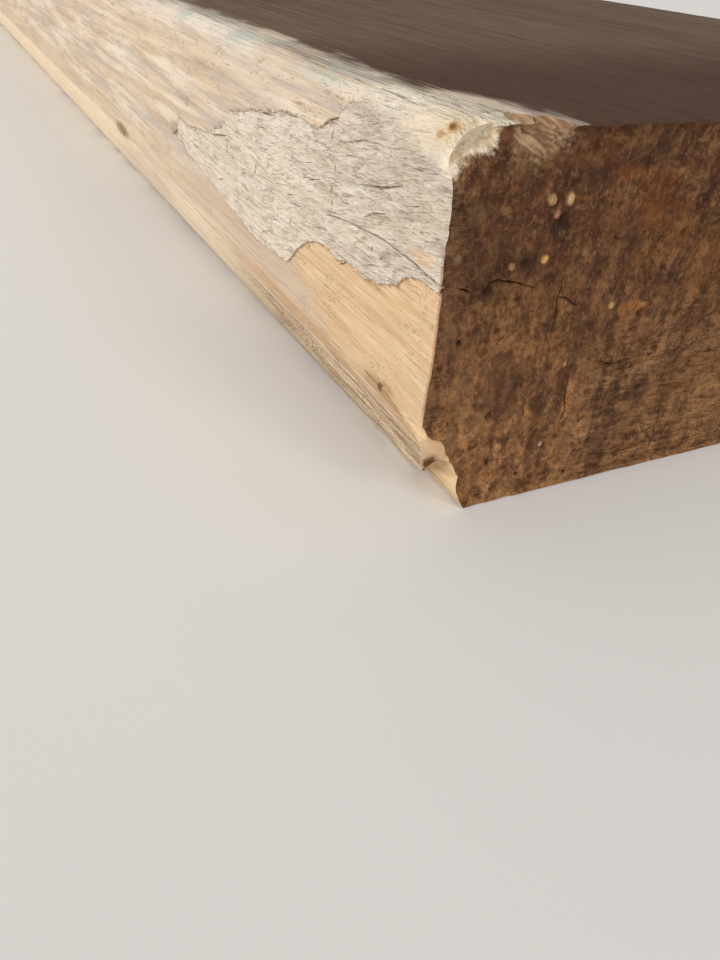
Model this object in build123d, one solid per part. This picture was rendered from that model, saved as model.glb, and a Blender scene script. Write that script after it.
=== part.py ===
"""Weathered softwood board, sawn from one log and lying flat.

X runs across the width, Y along the length from the near end to the far one, and Z up.
The origin is the middle of the underside. All sizes are in millimetres.
"""

import os
from math import hypot

from build123d import *

# Stock size of the board
board_length = 2438.0
board_width = 140.0
board_thickness = 38.0

# Long edges, as seen from the near end
upper_left_radius = 3.6
upper_right_radius = 3.2
lower_right_radius = 3.2

# Wane along the lower left edge: a bevel with a slight crown
wane_width = 5.6
wane_height = 11.0
wane_crown = 1.0

# Splinter lifting off the wane at the near end
split_width = 6.5
split_height = 11.5
split_length = 12.0
split_gap = 0.8

# Lower corner broken off the splinter: how far down its face the break starts, and its length along the foot
lost_corner_start = 4.7
lost_corner_length = 8.0

# Chip out of the upper left corner of the near end
chip_width = 6.4
chip_height = 4.6
chip_length = 5.0

# Insect hole in the left face, where the splinter starts to lift
insect_hole_diameter = 1.1
insect_hole_depth = 3.0
insect_hole_from_end = 8.6
insect_hole_height = 11.2

# Drying check in the left face: distance from the near end, and height
side_check_path = [(0.0, 25.0), (4.7, 25.5), (11.4, 25.7), (18.6, 25.0), (24.0, 24.2)]
side_check_gap = 0.7
side_check_depth = 3.8

# Drying checks in the near end: distance from the left face, and height
end_check_paths = [
    [(4.6, 23.2), (5.5, 24.7), (8.5, 24.5), (11.6, 23.4)],
    [(12.8, 22.5), (16.2, 21.3), (21.0, 20.4)],
]
end_check_gap = 0.5
end_check_depth = 3.0

# How far a cut runs out past the face it opens, and the width it closes to
overcut = 1.0
closed_gap = 0.04

left_x = -board_width / 2
right_x = board_width / 2
near_y = -board_length / 2


def section():
    """Outline of the board across its length, with the wane at the lower left."""
    bevel_length = hypot(wane_width, wane_height)
    crown_x = left_x + wane_width / 2 - wane_crown * wane_height / bevel_length
    crown_z = wane_height / 2 - wane_crown * wane_width / bevel_length
    wane = ThreePointArc(
        (left_x, wane_height), (crown_x, crown_z), (left_x + wane_width, 0)
    )
    upper_left = RadiusArc(
        (left_x, board_thickness - upper_left_radius),
        (left_x + upper_left_radius, board_thickness),
        upper_left_radius,
    )
    upper_right = RadiusArc(
        (right_x - upper_right_radius, board_thickness),
        (right_x, board_thickness - upper_right_radius),
        upper_right_radius,
    )
    lower_right = RadiusArc(
        (right_x, lower_right_radius),
        (right_x - lower_right_radius, 0),
        lower_right_radius,
    )
    sides = [
        Line(wane @ 0, upper_left @ 0),
        Line(upper_left @ 1, upper_right @ 0),
        Line(upper_right @ 1, lower_right @ 0),
        Line(lower_right @ 1, wane @ 1),
    ]
    return make_face([wane, upper_left, upper_right, lower_right, *sides])


def sawn_blank():
    """The section carried along the whole length, with both ends sawn square."""
    near_end = Plane(origin=(0, near_y, 0), x_dir=(1, 0, 0), z_dir=(0, -1, 0))
    return extrude(near_end * section(), amount=-board_length)


def through(outlines):
    """Solid with flat or ruled sides through polygons given as lists of corners."""
    return loft([make_face(Polyline(*corners, close=True)) for corners in outlines], ruled=True)


def split_plane():
    """Plane the splinter lifts along: X runs back along the board, Y down to the foot, Z outward."""
    outward = (-split_height, 0, -split_width)
    return Plane(origin=(left_x, near_y, split_height), x_dir=(0, 1, 0), z_dir=outward)


def splinter_gap():
    """Crack behind the splinter: open at the near end and closed where it holds on."""
    plane = split_plane()
    foot = hypot(split_width, split_height) + overcut

    def slot(back, gap):
        corners = [(-overcut, 0), (foot, 0), (foot, gap), (-overcut, gap)]
        return [plane.from_local_coords((back, down, outward)) for down, outward in corners]

    return through([slot(-overcut, split_gap), slot(split_length, closed_gap)])


def lost_corner():
    """Wood outside the split plane where the splinter's lower corner has broken away."""
    foot = hypot(split_width, split_height)
    slant = lost_corner_length / (foot - lost_corner_start)
    outline = Polyline(
        (-overcut, lost_corner_start - overcut / slant),
        (-overcut, foot + overcut),
        (lost_corner_length + overcut * slant, foot + overcut),
        close=True,
    )
    return extrude(split_plane() * make_face(outline), amount=wane_crown + split_gap + overcut)


def corner_chip():
    """Flat chip at the upper left corner of the near end, running out along the edge."""
    top = board_thickness + overcut
    side = left_x - overcut
    start = near_y - overcut
    end = near_y + chip_length
    return through(
        [
            [(side, start, board_thickness - chip_height), (left_x + chip_width, start, top), (side, start, top)],
            [(side, end, board_thickness), (left_x, end, top), (side, end, top)],
        ]
    )


def insect_hole():
    """Small round hole, drilled straight into the left face."""
    mouth = Plane(
        origin=(left_x - overcut, near_y + insect_hole_from_end, insect_hole_height),
        z_dir=(1, 0, 0),
    )
    return extrude(mouth * Circle(insect_hole_diameter / 2), amount=overcut + insect_hole_depth)


def side_check():
    """V-shaped check in the left face, open at the near end and fading along the grain."""
    length = side_check_path[-1][0]

    def notch(distance, height):
        left = 1 - distance / length
        half_gap = max(side_check_gap * left, closed_gap) / 2
        depth = max(side_check_depth * left, closed_gap)
        y = near_y + distance
        return [
            (left_x - overcut, y, height + half_gap),
            (left_x - overcut, y, height - half_gap),
            (left_x + depth, y, height),
        ]

    first_height = side_check_path[0][1]
    return through([notch(-overcut, first_height)] + [notch(*point) for point in side_check_path[1:]])


def end_check(path):
    """V-shaped check in the near end, widest in its middle and fading both ways."""
    start, finish = path[0][0], path[-1][0]

    def notch(distance, height):
        share = (distance - start) / (finish - start)
        fullness = 4 * share * (1 - share)
        half_gap = max(end_check_gap * fullness, closed_gap) / 2
        depth = max(end_check_depth * fullness, closed_gap)
        x = left_x + distance
        return [
            (x, near_y - overcut, height + half_gap),
            (x, near_y - overcut, height - half_gap),
            (x, near_y + depth, height),
        ]

    return through([notch(*point) for point in path])


def board():
    """The whole board, as one solid."""
    wood = sawn_blank()
    wood -= splinter_gap()
    wood -= lost_corner()
    wood -= corner_chip()
    wood -= insect_hole()
    wood -= side_check()
    for path in end_check_paths:
        wood -= end_check(path)
    return wood


os.makedirs("parts", exist_ok=True)
export_step(board(), "parts/board.step")
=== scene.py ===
"""Looks of a weathered softwood board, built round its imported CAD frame.

The scene is in metres. The board's own relief is worked out in millimetres, in board
coordinates: across from the left face, along from the near end, and up from the underside.
A place on the long faces is given by how far along it lies and by its height on the left face.
That height runs on round both edges: under 11 it is on the wane, and over 34.4 on the top edge.
"""

from math import asin, atan2, cos, hypot, pi, radians, sin, sqrt

import bpy
import numpy as np
from bpy.props import FloatProperty, FloatVectorProperty, PointerProperty
from mathutils import Matrix, Vector
from mathutils.geometry import delaunay_2d_cdt


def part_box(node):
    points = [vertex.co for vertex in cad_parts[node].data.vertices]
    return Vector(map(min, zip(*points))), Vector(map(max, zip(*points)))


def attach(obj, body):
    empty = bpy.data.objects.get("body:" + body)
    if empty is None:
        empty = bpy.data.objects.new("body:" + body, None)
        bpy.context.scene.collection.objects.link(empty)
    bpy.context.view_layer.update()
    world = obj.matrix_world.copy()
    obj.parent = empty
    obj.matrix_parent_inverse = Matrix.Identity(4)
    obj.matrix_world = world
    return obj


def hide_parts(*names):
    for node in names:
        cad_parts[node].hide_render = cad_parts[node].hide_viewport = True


bl_info = {
    "name": "Weathered Board",
    "version": (1, 0, 0),
    "blender": (4, 5, 0),
    "location": "View3D > Sidebar > Board",
    "description": "Builds a weathered softwood board with flaked skin and a splintered sawn end",
    "category": "Add Mesh",
}

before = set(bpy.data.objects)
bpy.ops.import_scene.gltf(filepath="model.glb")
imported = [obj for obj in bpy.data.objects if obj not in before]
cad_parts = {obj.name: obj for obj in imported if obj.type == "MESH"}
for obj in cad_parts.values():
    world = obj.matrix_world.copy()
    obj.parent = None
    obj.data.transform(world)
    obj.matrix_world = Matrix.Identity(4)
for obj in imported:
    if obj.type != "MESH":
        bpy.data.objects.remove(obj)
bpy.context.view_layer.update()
board_low, board_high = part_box("board")

MM = 0.001
LENGTH = (board_high.y - board_low.y) / MM
WIDTH = (board_high.x - board_low.x) / MM
THICKNESS = (board_high.z - board_low.z) / MM


def shade(red, green, blue):
    """Linear colour of a tone that is given as it looks on screen, from 0 to 255."""
    parts = [part / 255 for part in (red, green, blue)]
    return tuple(part / 12.92 if part <= 0.04045 else ((part + 0.055) / 1.055) ** 2.4 for part in parts)


def colour(name, description, red, green, blue):
    """Colour property with that tone as its default."""
    return FloatVectorProperty(
        name=name,
        description=description,
        default=shade(red, green, blue),
        subtype="COLOR",
        min=0.0,
        max=1.0,
        size=3,
    )


def size(name, description, millimetres):
    """Length property with that many millimetres as its default."""
    return FloatProperty(
        name=name, description=description, default=millimetres * MM, unit="LENGTH", min=0.0, precision=5
    )


def lamp_strength(name, description, default):
    """Lamp strength property with that default."""
    return FloatProperty(name=name, description=description, default=default, min=0.0)


class BoardShape(bpy.types.PropertyGroup):
    """Sizes of the section, the wear and the mesh."""

    upper_left_radius: size("Upper left radius", "Rounding of the upper left long edge", 3.6)
    right_radius: size("Right radius", "Rounding of both right-hand long edges", 3.2)
    wane_width: size("Wane width", "How far the wane reaches under the board", 5.6)
    wane_height: size("Wane height", "How far the wane reaches up the left face", 11.0)
    wane_crown: size("Wane crown", "How far the wane bulges past its chord", 1.0)
    split_width: size("Split width", "Foot of the split plane, from the left face", 6.5)
    split_height: size("Split height", "Top of the split plane, from the underside", 11.5)
    split_length: size("Split length", "How far back the splinter has lifted", 12.0)
    splinter_lift: size("Splinter lift", "How far the splinter's tip stands off the wane", 0.12)
    hole_from_end: size("Hole from end", "Insect hole, from the near end", 8.6)
    hole_height: size("Hole height", "Insect hole, from the underside", 11.2)
    skin_thickness: size("Skin thickness", "Step at the edge of the grey weathered skin", 0.3)
    finest_spacing: size("Finest spacing", "Distance between mesh points at the near corner", 0.3)


class BoardColours(bpy.types.PropertyGroup):
    """Tones of the wood, as they look in plain light."""

    skin: colour("Skin", "Grey weathered skin", 209, 195, 178)
    skin_light: colour("Skin, light", "Bleached fibres of the skin", 226, 213, 195)
    # Also the tone of painted shade in the skin's wavy lines, under the flake edges.
    skin_dark: colour("Skin, dark", "Dirt in the pores of the skin", 116, 93, 71)
    fresh: colour("Fresh wood", "Wood where the skin has flaked off", 218, 184, 144)
    fresh_light: colour("Fresh wood, light", "Raised pale fibres of the fresh wood", 236, 209, 169)
    bare: colour("Bare wood", "Smooth weathered wood away from the near end", 232, 211, 185)
    wane: colour("Wane", "Striated wane and splinter", 208, 183, 152)
    # Partly painted shade: the wide faces are darker than their brown stain alone.
    stained_and_shaded: colour("Stained wood", "Brown stain of the wide faces", 108, 82, 60)
    split: colour("Split wood", "Clean wood on the split facet", 216, 186, 145)
    # Also the tone of painted shade in the pits between granules.
    end_dark: colour("Sawn end, dark", "Dirt in the sawn end", 72, 43, 27)
    end_mid: colour("Sawn end", "Weathered end grain", 128, 85, 50)
    # Also the tone of painted highlight on the granules' tops.
    end_light: colour("Sawn end, light", "Torn fibre ends", 178, 138, 98)
    rust: colour("Rust tint", "Orange tint in the sawn end", 154, 88, 40)
    green: colour("Green tint", "Algae along the upper left edge", 172, 184, 172)


class StageSettings(bpy.types.PropertyGroup):
    """Light, floor and camera."""

    key_strength: lamp_strength("Key strength", "Soft lamp from the left", 1.9)
    front_strength: lamp_strength("Front strength", "Soft lamp on the near end", 0.5)
    sky_strength: lamp_strength("Sky strength", "Even light from all round", 0.5)
    floor: colour("Floor", "Plain floor", 232, 230, 226)
    lens: FloatProperty(name="Lens", description="Lens for a 36 mm sensor, in mm", default=30.0, min=1.0)


def spread(value, low, high):
    """Rises smoothly from 0 at low to 1 at high."""
    share = np.clip((value - low) / (high - low), 0.0, 1.0)
    return share * share * (3.0 - 2.0 * share)


def grid_value(column, row, seed):
    """Repeatable random number from 0 to 1 for each point of a whole-numbered grid."""
    mixed = (column * 374761393 + row * 668265263 + seed * 974634777) & 0xFFFFFFFF
    mixed = ((mixed ^ (mixed >> 13)) * 1274126177) & 0xFFFFFFFF
    return ((mixed ^ (mixed >> 16)) & 0xFFFFFFFF) / 0xFFFFFFFF


def ripple(u, v, seed):
    """Smooth random relief from -1 to 1, with bumps one unit across."""
    column = np.floor(u).astype(np.int64)
    row = np.floor(v).astype(np.int64)
    right = spread(u - column, 0.0, 1.0)
    up = spread(v - row, 0.0, 1.0)
    lower = grid_value(column, row, seed) * (1 - right) + grid_value(column + 1, row, seed) * right
    upper = grid_value(column, row + 1, seed) * (1 - right) + grid_value(column + 1, row + 1, seed) * right
    return 2.0 * (lower * (1 - up) + upper * up) - 1.0


def layered(u, v, seed, layers=3):
    """Ripples of halving size added up, from about -1 to 1."""
    total = 0.0
    for layer in range(layers):
        total = total + ripple(u * 2**layer, v * 2**layer, seed + 17 * layer) * 0.5**layer
    return total / (2.0 - 0.5 ** (layers - 1))


def divided(corners, step):
    """Path through the corners, divided into steps of about that length."""
    corners = np.array(corners, float)
    points = [corners[:1]]
    for start, end in zip(corners[:-1], corners[1:]):
        count = max(1, round(float(np.hypot(*(end - start))) / step))
        shares = np.arange(1, count + 1)[:, None] / count
        points.append(start + shares * (end - start))
    return np.concatenate(points)


def sideways(path):
    """Unit vectors square to a path at each of its points."""
    run = np.gradient(path, axis=0)
    run /= np.maximum(np.hypot(run[:, 0], run[:, 1]), 1e-9)[:, None]
    return np.stack([-run[:, 1], run[:, 0]], axis=1)


def ragged(corners, step, wander, seed):
    """Divided path that wanders to both sides as torn wood does, with its ends in place."""
    path = divided(corners, step)
    travelled = np.arange(len(path)) * step
    held = np.minimum(1.0, np.minimum(travelled, travelled[::-1]) / (2 * step))
    offset = wander * held * layered(travelled / (5 * step), travelled * 0.0, seed, 3)
    return path + offset[:, None] * sideways(path)


def nearest_on_path(points, path):
    """Distance from each point to a path, and the share of the path, from 0 to 1, at its nearest place."""
    steps = path[1:] - path[:-1]
    lengths = np.hypot(steps[:, 0], steps[:, 1])
    travelled = np.concatenate([[0.0], np.cumsum(lengths)])
    best = np.full(len(points), np.inf)
    share = np.zeros(len(points))
    for start, step, length, before in zip(path[:-1], steps, lengths, travelled):
        offset = points - start
        along = np.clip(offset @ step / max(length, 1e-9) ** 2, 0.0, 1.0)
        distance = np.hypot(offset[:, 0] - along * step[0], offset[:, 1] - along * step[1])
        nearer = distance < best
        best[nearer] = distance[nearer]
        share[nearer] = (before + along[nearer] * length) / travelled[-1]
    return best, share


def near_box(points, path, margin):
    """Which points lie within the margin of a path's box."""
    low = path.min(0) - margin
    high = path.max(0) + margin
    return np.all((points >= low) & (points <= high), axis=1)


def signed_distance(points, outline):
    """Distance to a closed outline, positive inside it."""
    closed = np.concatenate([outline, outline[:1]])
    distance = nearest_on_path(points, closed)[0]
    inside = np.zeros(len(points), bool)
    for start, end in zip(closed[:-1], closed[1:]):
        crosses = (start[1] > points[:, 1]) != (end[1] > points[:, 1])
        rise = end[1] - start[1] if end[1] != start[1] else 1e-9
        reach = start[0] + (points[:, 1] - start[1]) / rise * (end[0] - start[0])
        inside ^= crosses & (points[:, 0] < reach)
    return np.where(inside, distance, -distance)


class Groove:
    """Crack with a V section along a path, open at its first point or tapered at both ends."""

    def __init__(self, corners, width, depth, open_start=False, step=0.6, wander=0.12, seed=0):
        self.path = ragged(corners, step, wander, seed)
        self.width = width
        self.depth = depth
        self.open_start = open_start

    def fullness(self, share):
        if self.open_start:
            return np.sqrt(np.clip(1.0 - share, 0.0, 1.0))
        return np.sqrt(np.clip(np.sin(pi * share), 0.0, 1.0))

    def half_width(self, share):
        return 0.5 * self.width * self.fullness(share) + 0.015

    def lines(self):
        """Its bottom line and its two lips, as paths that the mesh follows."""
        shares = np.linspace(0.0, 1.0, len(self.path))
        offset = sideways(self.path) * self.half_width(shares)[:, None]
        if self.open_start:
            offset[0] = (0.0, self.half_width(np.zeros(1))[0])
        else:
            offset[0] = 0.0
        offset[-1] = 0.0
        return [self.path, self.path + offset, self.path - offset]

    def carve(self, points):
        """Share of the full depth at each point, from 0 at a lip to 1 on the bottom line."""
        carved = np.zeros(len(points))
        near = near_box(points, self.path, self.width)
        if near.any():
            distance, share = nearest_on_path(points[near], self.path)
            carved[near] = np.clip(1.0 - distance / self.half_width(share), 0.0, 1.0)
            carved[near] *= self.fullness(share)
        return carved


class Section:
    """Outline across the board, followed clockwise as seen from the near end.

    It starts in the underside and runs over the wane, the left face, the top and the right face.
    """

    seam = 110.0

    def __init__(self, shape):
        radius = shape.upper_left_radius / MM
        right = shape.right_radius / MM
        wane_width = shape.wane_width / MM
        self.wane_height = shape.wane_height / MM
        self.top_start = THICKNESS - radius
        self.stretches = []
        self.length = 0.0
        self.straight((self.seam, 0.0), (wane_width, 0.0))
        self.wane_start = self.length
        self.bulge((wane_width, 0.0), (0.0, self.wane_height), shape.wane_crown / MM)
        self.left_start = self.length
        self.straight((0.0, self.wane_height), (0.0, self.top_start))
        self.corner((radius, self.top_start), radius, pi)
        self.top_begins = self.length
        self.straight((radius, THICKNESS), (WIDTH - right, THICKNESS))
        self.corner((WIDTH - right, THICKNESS - right), right, pi / 2)
        self.right_begins = self.length
        self.straight((WIDTH, THICKNESS - right), (WIDTH, right))
        self.corner((WIDTH - right, right), right, 0.0)
        self.underside_begins = self.length
        self.straight((WIDTH - right, 0.0), (self.seam, 0.0))

    def straight(self, start, end):
        run = (end[0] - start[0], end[1] - start[1])
        length = hypot(*run)
        step = (run[0] / length, run[1] / length)

        def place(distance):
            across = start[0] + distance * step[0]
            up = start[1] + distance * step[1]
            return across, up, np.full_like(distance, -step[1]), np.full_like(distance, step[0])

        self.stretches.append((self.length, self.length + length, place))
        self.length += length

    def arc(self, centre, radius, first_angle, sweep):
        def place(distance):
            angle = first_angle - distance / radius
            across = centre[0] + radius * np.cos(angle)
            up = centre[1] + radius * np.sin(angle)
            return across, up, np.cos(angle), np.sin(angle)

        length = radius * sweep
        self.stretches.append((self.length, self.length + length, place))
        self.length += length

    def corner(self, centre, radius, first_angle):
        self.arc(centre, radius, first_angle, pi / 2)

    def bulge(self, start, end, crown):
        """Shallow arc from start to end that stands crown outside its chord."""
        chord = hypot(end[0] - start[0], end[1] - start[1])
        radius = (chord**2 / 4 + crown**2) / (2 * crown)
        outward = ((start[1] - end[1]) / chord, (end[0] - start[0]) / chord)
        middle = ((start[0] + end[0]) / 2, (start[1] + end[1]) / 2)
        back = radius - crown
        centre = (middle[0] - outward[0] * back, middle[1] - outward[1] * back)
        first = atan2(start[1] - centre[1], start[0] - centre[0])
        self.arc(centre, radius, first, 2 * asin(chord / 2 / radius))

    def place(self, around):
        """Across, up and the outward direction at each distance round the outline."""
        around = np.clip(around, 0.0, self.length)
        found = np.zeros((4, len(around)))
        for low, high, place in self.stretches:
            here = (around >= low) & (around <= high)
            found[:, here] = place(around[here] - low)
        return found

    def height_of(self, around):
        return self.wane_height + around - self.left_start

    def around_at(self, height):
        return self.left_start + height - self.wane_height

    def top_height(self, across):
        """Height, run on over the edge, of a place on the top."""
        return self.height_of(self.top_begins) + across - (THICKNESS - self.top_start)


CAMERA_PLACE = (-35.964, -54.459, 49.542)

# Border of the grey skin, as (along, height)
SKIN_BORDER = [
    (0.0, 24.45), (2.5, 24.35), (4.3, 24.1), (5.7, 23.7), (7.4, 22.5), (10.2, 21.6), (11.2, 21.1),
    (14.5, 20.9), (18.1, 21.0), (20.9, 20.3), (21.9, 21.0), (25.8, 20.4), (28.6, 19.6), (31.5, 17.6),
    (34.6, 15.3), (39.7, 15.1), (45.3, 14.6), (51.2, 15.4), (67.6, 17.3), (77.5, 18.6), (81.4, 19.3),
    (82.0, 22.2), (80.6, 22.9), (74.0, 22.6), (66.2, 23.6), (58.2, 25.8), (55.8, 28.3), (48.6, 29.9),
    (42.6, 30.7), (36.2, 31.9), (31.0, 32.2), (26.9, 32.3), (22.1, 33.9), (20.0, 35.5), (17.9, 37.6),
    (16.4, 40.0), (11.0, 42.5), (5.0, 44.0), (0.0, 45.5),
]

# Checks of the left face: path as (along, height), width, depth, and whether it is open at its start
LEFT_GROOVES = [
    ([(0.0, 25.0), (4.7, 25.5), (11.4, 25.7), (18.6, 25.0), (24.0, 24.2)], 0.3, 0.75, True),
    ([(7.6, 31.4), (11.9, 30.1), (16.8, 29.2)], 0.24, 0.24, False),
    ([(11.2, 33.7), (15.6, 33.4), (20.6, 32.0)], 0.22, 0.2, False),
    ([(10.2, 28.3), (13.1, 27.4), (15.4, 26.3)], 0.2, 0.2, False),
    ([(21.4, 34.2), (24.4, 33.4), (26.9, 31.9)], 0.34, 0.3, False),
    ([(38.0, 31.2), (41.4, 30.9), (45.4, 30.2)], 0.24, 0.24, False),
    ([(23.3, 29.4), (26.0, 29.8), (28.6, 30.0)], 0.16, 0.18, False),
    ([(10.2, 24.2), (11.5, 23.5)], 0.24, 0.22, False),
    ([(10.6, 23.1), (12.4, 22.7), (13.9, 22.1)], 0.18, 0.18, False),
    ([(18.2, 21.1), (19.2, 20.4), (20.5, 19.9)], 0.24, 0.26, False),
    ([(38.9, 17.7), (41.2, 17.0), (43.8, 15.9)], 0.24, 0.2, False),
    ([(21.7, 29.9), (22.1, 28.7)], 0.44, 0.42, False),
    ([(22.3, 27.7), (22.8, 26.6)], 0.46, 0.44, False),
    ([(33.4, 30.4), (34.1, 29.4)], 0.5, 0.42, False),
    ([(33.0, 21.4), (33.7, 20.1)], 0.44, 0.4, False),
    ([(28.1, 19.7), (28.5, 18.8)], 0.42, 0.36, False),
    ([(22.6, 33.1), (22.9, 31.6)], 0.42, 0.4, False),
    ([(22.0, 26.4), (22.2, 25.3)], 0.4, 0.36, False),
    ([(12.5, 24.7), (12.8, 23.6)], 0.32, 0.3, False),
    ([(29.1, 30.4), (29.4, 29.2)], 0.4, 0.34, False),
    ([(45.2, 24.3), (45.5, 22.8)], 0.5, 0.36, False),
    ([(39.1, 22.1), (39.4, 20.8)], 0.46, 0.34, False),
    ([(55.9, 25.3), (60.0, 24.6), (64.3, 23.8)], 0.34, 0.3, False),
    ([(56.3, 25.0), (56.6, 22.4)], 0.3, 0.3, False),
    ([(45.3, 27.5), (44.9, 26.2)], 0.34, 0.3, False),
    ([(80.9, 22.9), (82.4, 20.8), (87.0, 18.7)], 0.5, 0.3, False),
    ([(0.0, 45.9), (2.5, 46.2), (4.9, 46.6)], 0.5, 0.9, True),
    ([(128.6, 12.9), (125.5, 11.7), (122.7, 11.2)], 0.9, 0.5, False),
]

# Checks of the near end: path as (across, up), width and depth
END_GROOVES = [
    ([(2.3, 24.5), (3.8, 24.0)], 0.2, 0.4),
    ([(5.3, 23.4), (5.5, 24.7), (6.3, 24.9), (8.5, 24.5), (10.6, 23.7)], 0.3, 0.36),
    ([(13.4, 22.4), (14.8, 22.2), (16.4, 21.2)], 0.26, 0.3),
    ([(12.2, 11.3), (12.9, 9.4)], 0.22, 0.3),
    ([(17.2, 14.0), (17.5, 11.6), (18.1, 9.6), (17.6, 7.4)], 0.3, 0.4),
    ([(20.9, 14.6), (22.6, 14.2), (24.4, 14.3)], 0.26, 0.34),
    ([(32.2, 9.0), (32.4, 5.6), (32.3, 1.6)], 0.22, 0.3),
    ([(13.7, 24.4), (13.9, 20.6), (13.8, 18.0)], 0.18, 0.2),
    ([(36.0, 13.6), (38.4, 13.4)], 0.24, 0.4),
]

# Pits of the near end: across, up and radius
END_PITS = [
    (9.0, 5.0, 0.3), (13.1, 2.7, 0.3), (15.4, 1.8, 0.34), (17.2, 0.9, 0.4), (20.0, 1.3, 0.3),
    (12.6, 10.7, 0.4), (27.7, 10.5, 0.6), (26.4, 9.6, 0.6), (28.6, 9.4, 0.4), (8.0, 10.9, 0.45),
    (12.2, 29.8, 0.7), (9.0, 26.3, 0.5), (5.4, 23.9, 0.4), (30.2, 11.6, 0.4), (22.0, 19.3, 0.4),
    (3.4, 19.2, 0.35), (1.6, 16.8, 0.35), (24.6, 19.6, 0.4), (6.6, 7.2, 0.35), (10.4, 1.2, 0.3),
    (24.3, 6.4, 0.3), (34.0, 9.6, 0.35), (19.2, 27.6, 0.35), (27.6, 27.4, 0.4),
]

# Pale crumbs on the near end: across, up, radius and tone
END_CRUMBS = [
    (10.4, 31.7, 0.52, (212, 166, 122)),
    (12.6, 31.6, 0.58, (226, 184, 132)),
    (11.3, 30.4, 0.42, (190, 132, 104)),
    (11.0, 26.4, 0.42, (240, 184, 110)),
    (7.6, 26.0, 0.34, (172, 130, 90)),
    (20.6, 20.9, 0.34, (206, 168, 108)),
    (24.6, 20.6, 0.3, (190, 148, 98)),
    (15.6, 5.9, 0.3, (214, 180, 142)),
    (16.2, 15.2, 0.24, (200, 160, 120)),
    (1.8, 27.2, 0.4, (160, 124, 92)),
]

# Worn upper corner of the near end, as (across, up), and how far it has worn back
WORN_CORNER = np.array([
    (-2.0, 33.0), (0.6, 33.4), (1.0, 34.5), (2.1, 35.3), (3.6, 35.4),
    (4.3, 36.0), (4.6, 37.2), (4.7, 40.0), (-2.0, 40.0),
])
CORNER_SET_BACK = 1.2

# Chips at the upper corner: outline as (along, height), deepest place, reach, depth and steepness
CHIPS = [
    (
        [(0.0, 34.9), (1.6, 35.5), (3.2, 36.9), (4.0, 38.9), (3.2, 40.5), (0.0, 40.7)],
        (0.0, 39.6), (4.2, 5.4), 1.5, 1.1,
    ),
    (
        [(0.0, 42.3), (1.8, 42.2), (3.8, 43.0), (5.0, 44.8), (3.6, 47.2), (0.0, 48.2)],
        (0.0, 45.0), (5.2, 4.6), 2.0, 1.8,
    ),
]


class Splinter:
    """Splinter that lifts off the wane, and the plane it has split along."""

    upper_edge = [(6.7, 11.25), (5.8, 11.0), (4.3, 10.5), (3.1, 10.1), (1.7, 9.7), (0.6, 9.2), (0.4, 8.4)]
    broken_end = [(0.4, 7.0), (0.6, 5.6), (2.2, 4.0), (4.3, 2.4), (7.0, 0.5), (8.2, -1.0)]
    undercut = 0.8
    ledge = 0.08

    def __init__(self, shape, section):
        self.foot = shape.split_width / MM
        self.top = shape.split_height / MM
        self.back = shape.split_length / MM
        self.lift = shape.splinter_lift / MM
        self.bottom = section.height_of(section.wane_start) - (self.foot - shape.wane_width / MM)
        run = hypot(self.foot, self.top)
        self.outward = (-self.top / run, -self.foot / run)
        upper = ragged([(self.back, self.top), *self.upper_edge], 0.35, 0.14, 31)
        torn = ragged([self.upper_edge[-1], *self.broken_end, (8.3, self.bottom)], 0.24, 0.2, 32)[1:]
        frayed = grid_value(np.arange(len(torn)), 0, 34) - 0.5
        torn[:, 0] += 0.6 * frayed * spread(torn[:, 1], 7.0, 5.4)
        edge = np.concatenate([upper, torn])
        closing_in = np.minimum(1.0, (self.back - edge[:, 0]) / self.back)
        edge[1:, 1] = np.minimum(edge[1:, 1], self.top - 0.05 - 0.1 * closing_in[1:])
        edge[:, 0] = np.maximum(edge[:, 0], 0.35)
        self.tip_number = len(upper) - 2
        gap = np.minimum(self.ledge, 0.45 * (self.top - edge[:, 1]))
        self.edge = edge
        self.foot_line = (edge - gap[:, None] * sideways(edge))[1:]
        self.foot_line[-1] = (edge[-1, 0] - self.ledge, self.bottom)
        self.under = sideways(self.foot_line)
        lip_along = np.concatenate([np.arange(0.0, self.back, 0.5), [self.back]])
        self.lip = np.stack([lip_along, lip_along * 0.0 + self.top], axis=1)
        closing = np.array([(0.0, self.bottom)])
        self.opened = np.concatenate([self.lip, self.edge[1:], closing])
        self.facet = np.concatenate([self.lip, self.foot_line, closing])

    def lines(self):
        return [self.lip, self.edge, self.foot_line]

    def tucked_in(self, points):
        """How far places of the facet move in under the splinter, as (along, height), and what it hides."""
        distance, share = nearest_on_path(points, self.foot_line)
        travelled = np.concatenate([[0.0], np.cumsum(np.hypot(*np.diff(self.foot_line, axis=0).T))])
        shares = travelled / travelled[-1]
        past_tip = share * travelled[-1] - travelled[self.tip_number]
        pocket = spread(past_tip, 2.6, 3.6) * (1.0 - 0.75 * spread(past_tip, 6.0, 8.4))
        crease = 0.14 * spread(points[:, 1], 9.0, 9.8)
        reach = self.undercut * np.maximum(pocket, crease)
        reach *= np.clip(1.0 - distance / 1.6, 0.0, 1.0) ** 2
        reach *= points[:, 1] < self.top - 1e-3
        towards = [np.interp(share, shares, self.under[:, axis]) for axis in (0, 1)]
        moved = np.stack([reach * towards[0], reach * towards[1]], axis=1)
        return moved, spread(reach - distance, 0.12, 0.5)

    def plane_depth(self, across, up, normal_across, normal_up):
        """How far in the split plane lies from a place on the outline."""
        height_above = across * self.outward[0] + (up - self.top) * self.outward[1]
        facing = normal_across * self.outward[0] + normal_up * self.outward[1]
        return np.clip(height_above / np.maximum(facing, 0.2), 0.0, 3.0)


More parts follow.
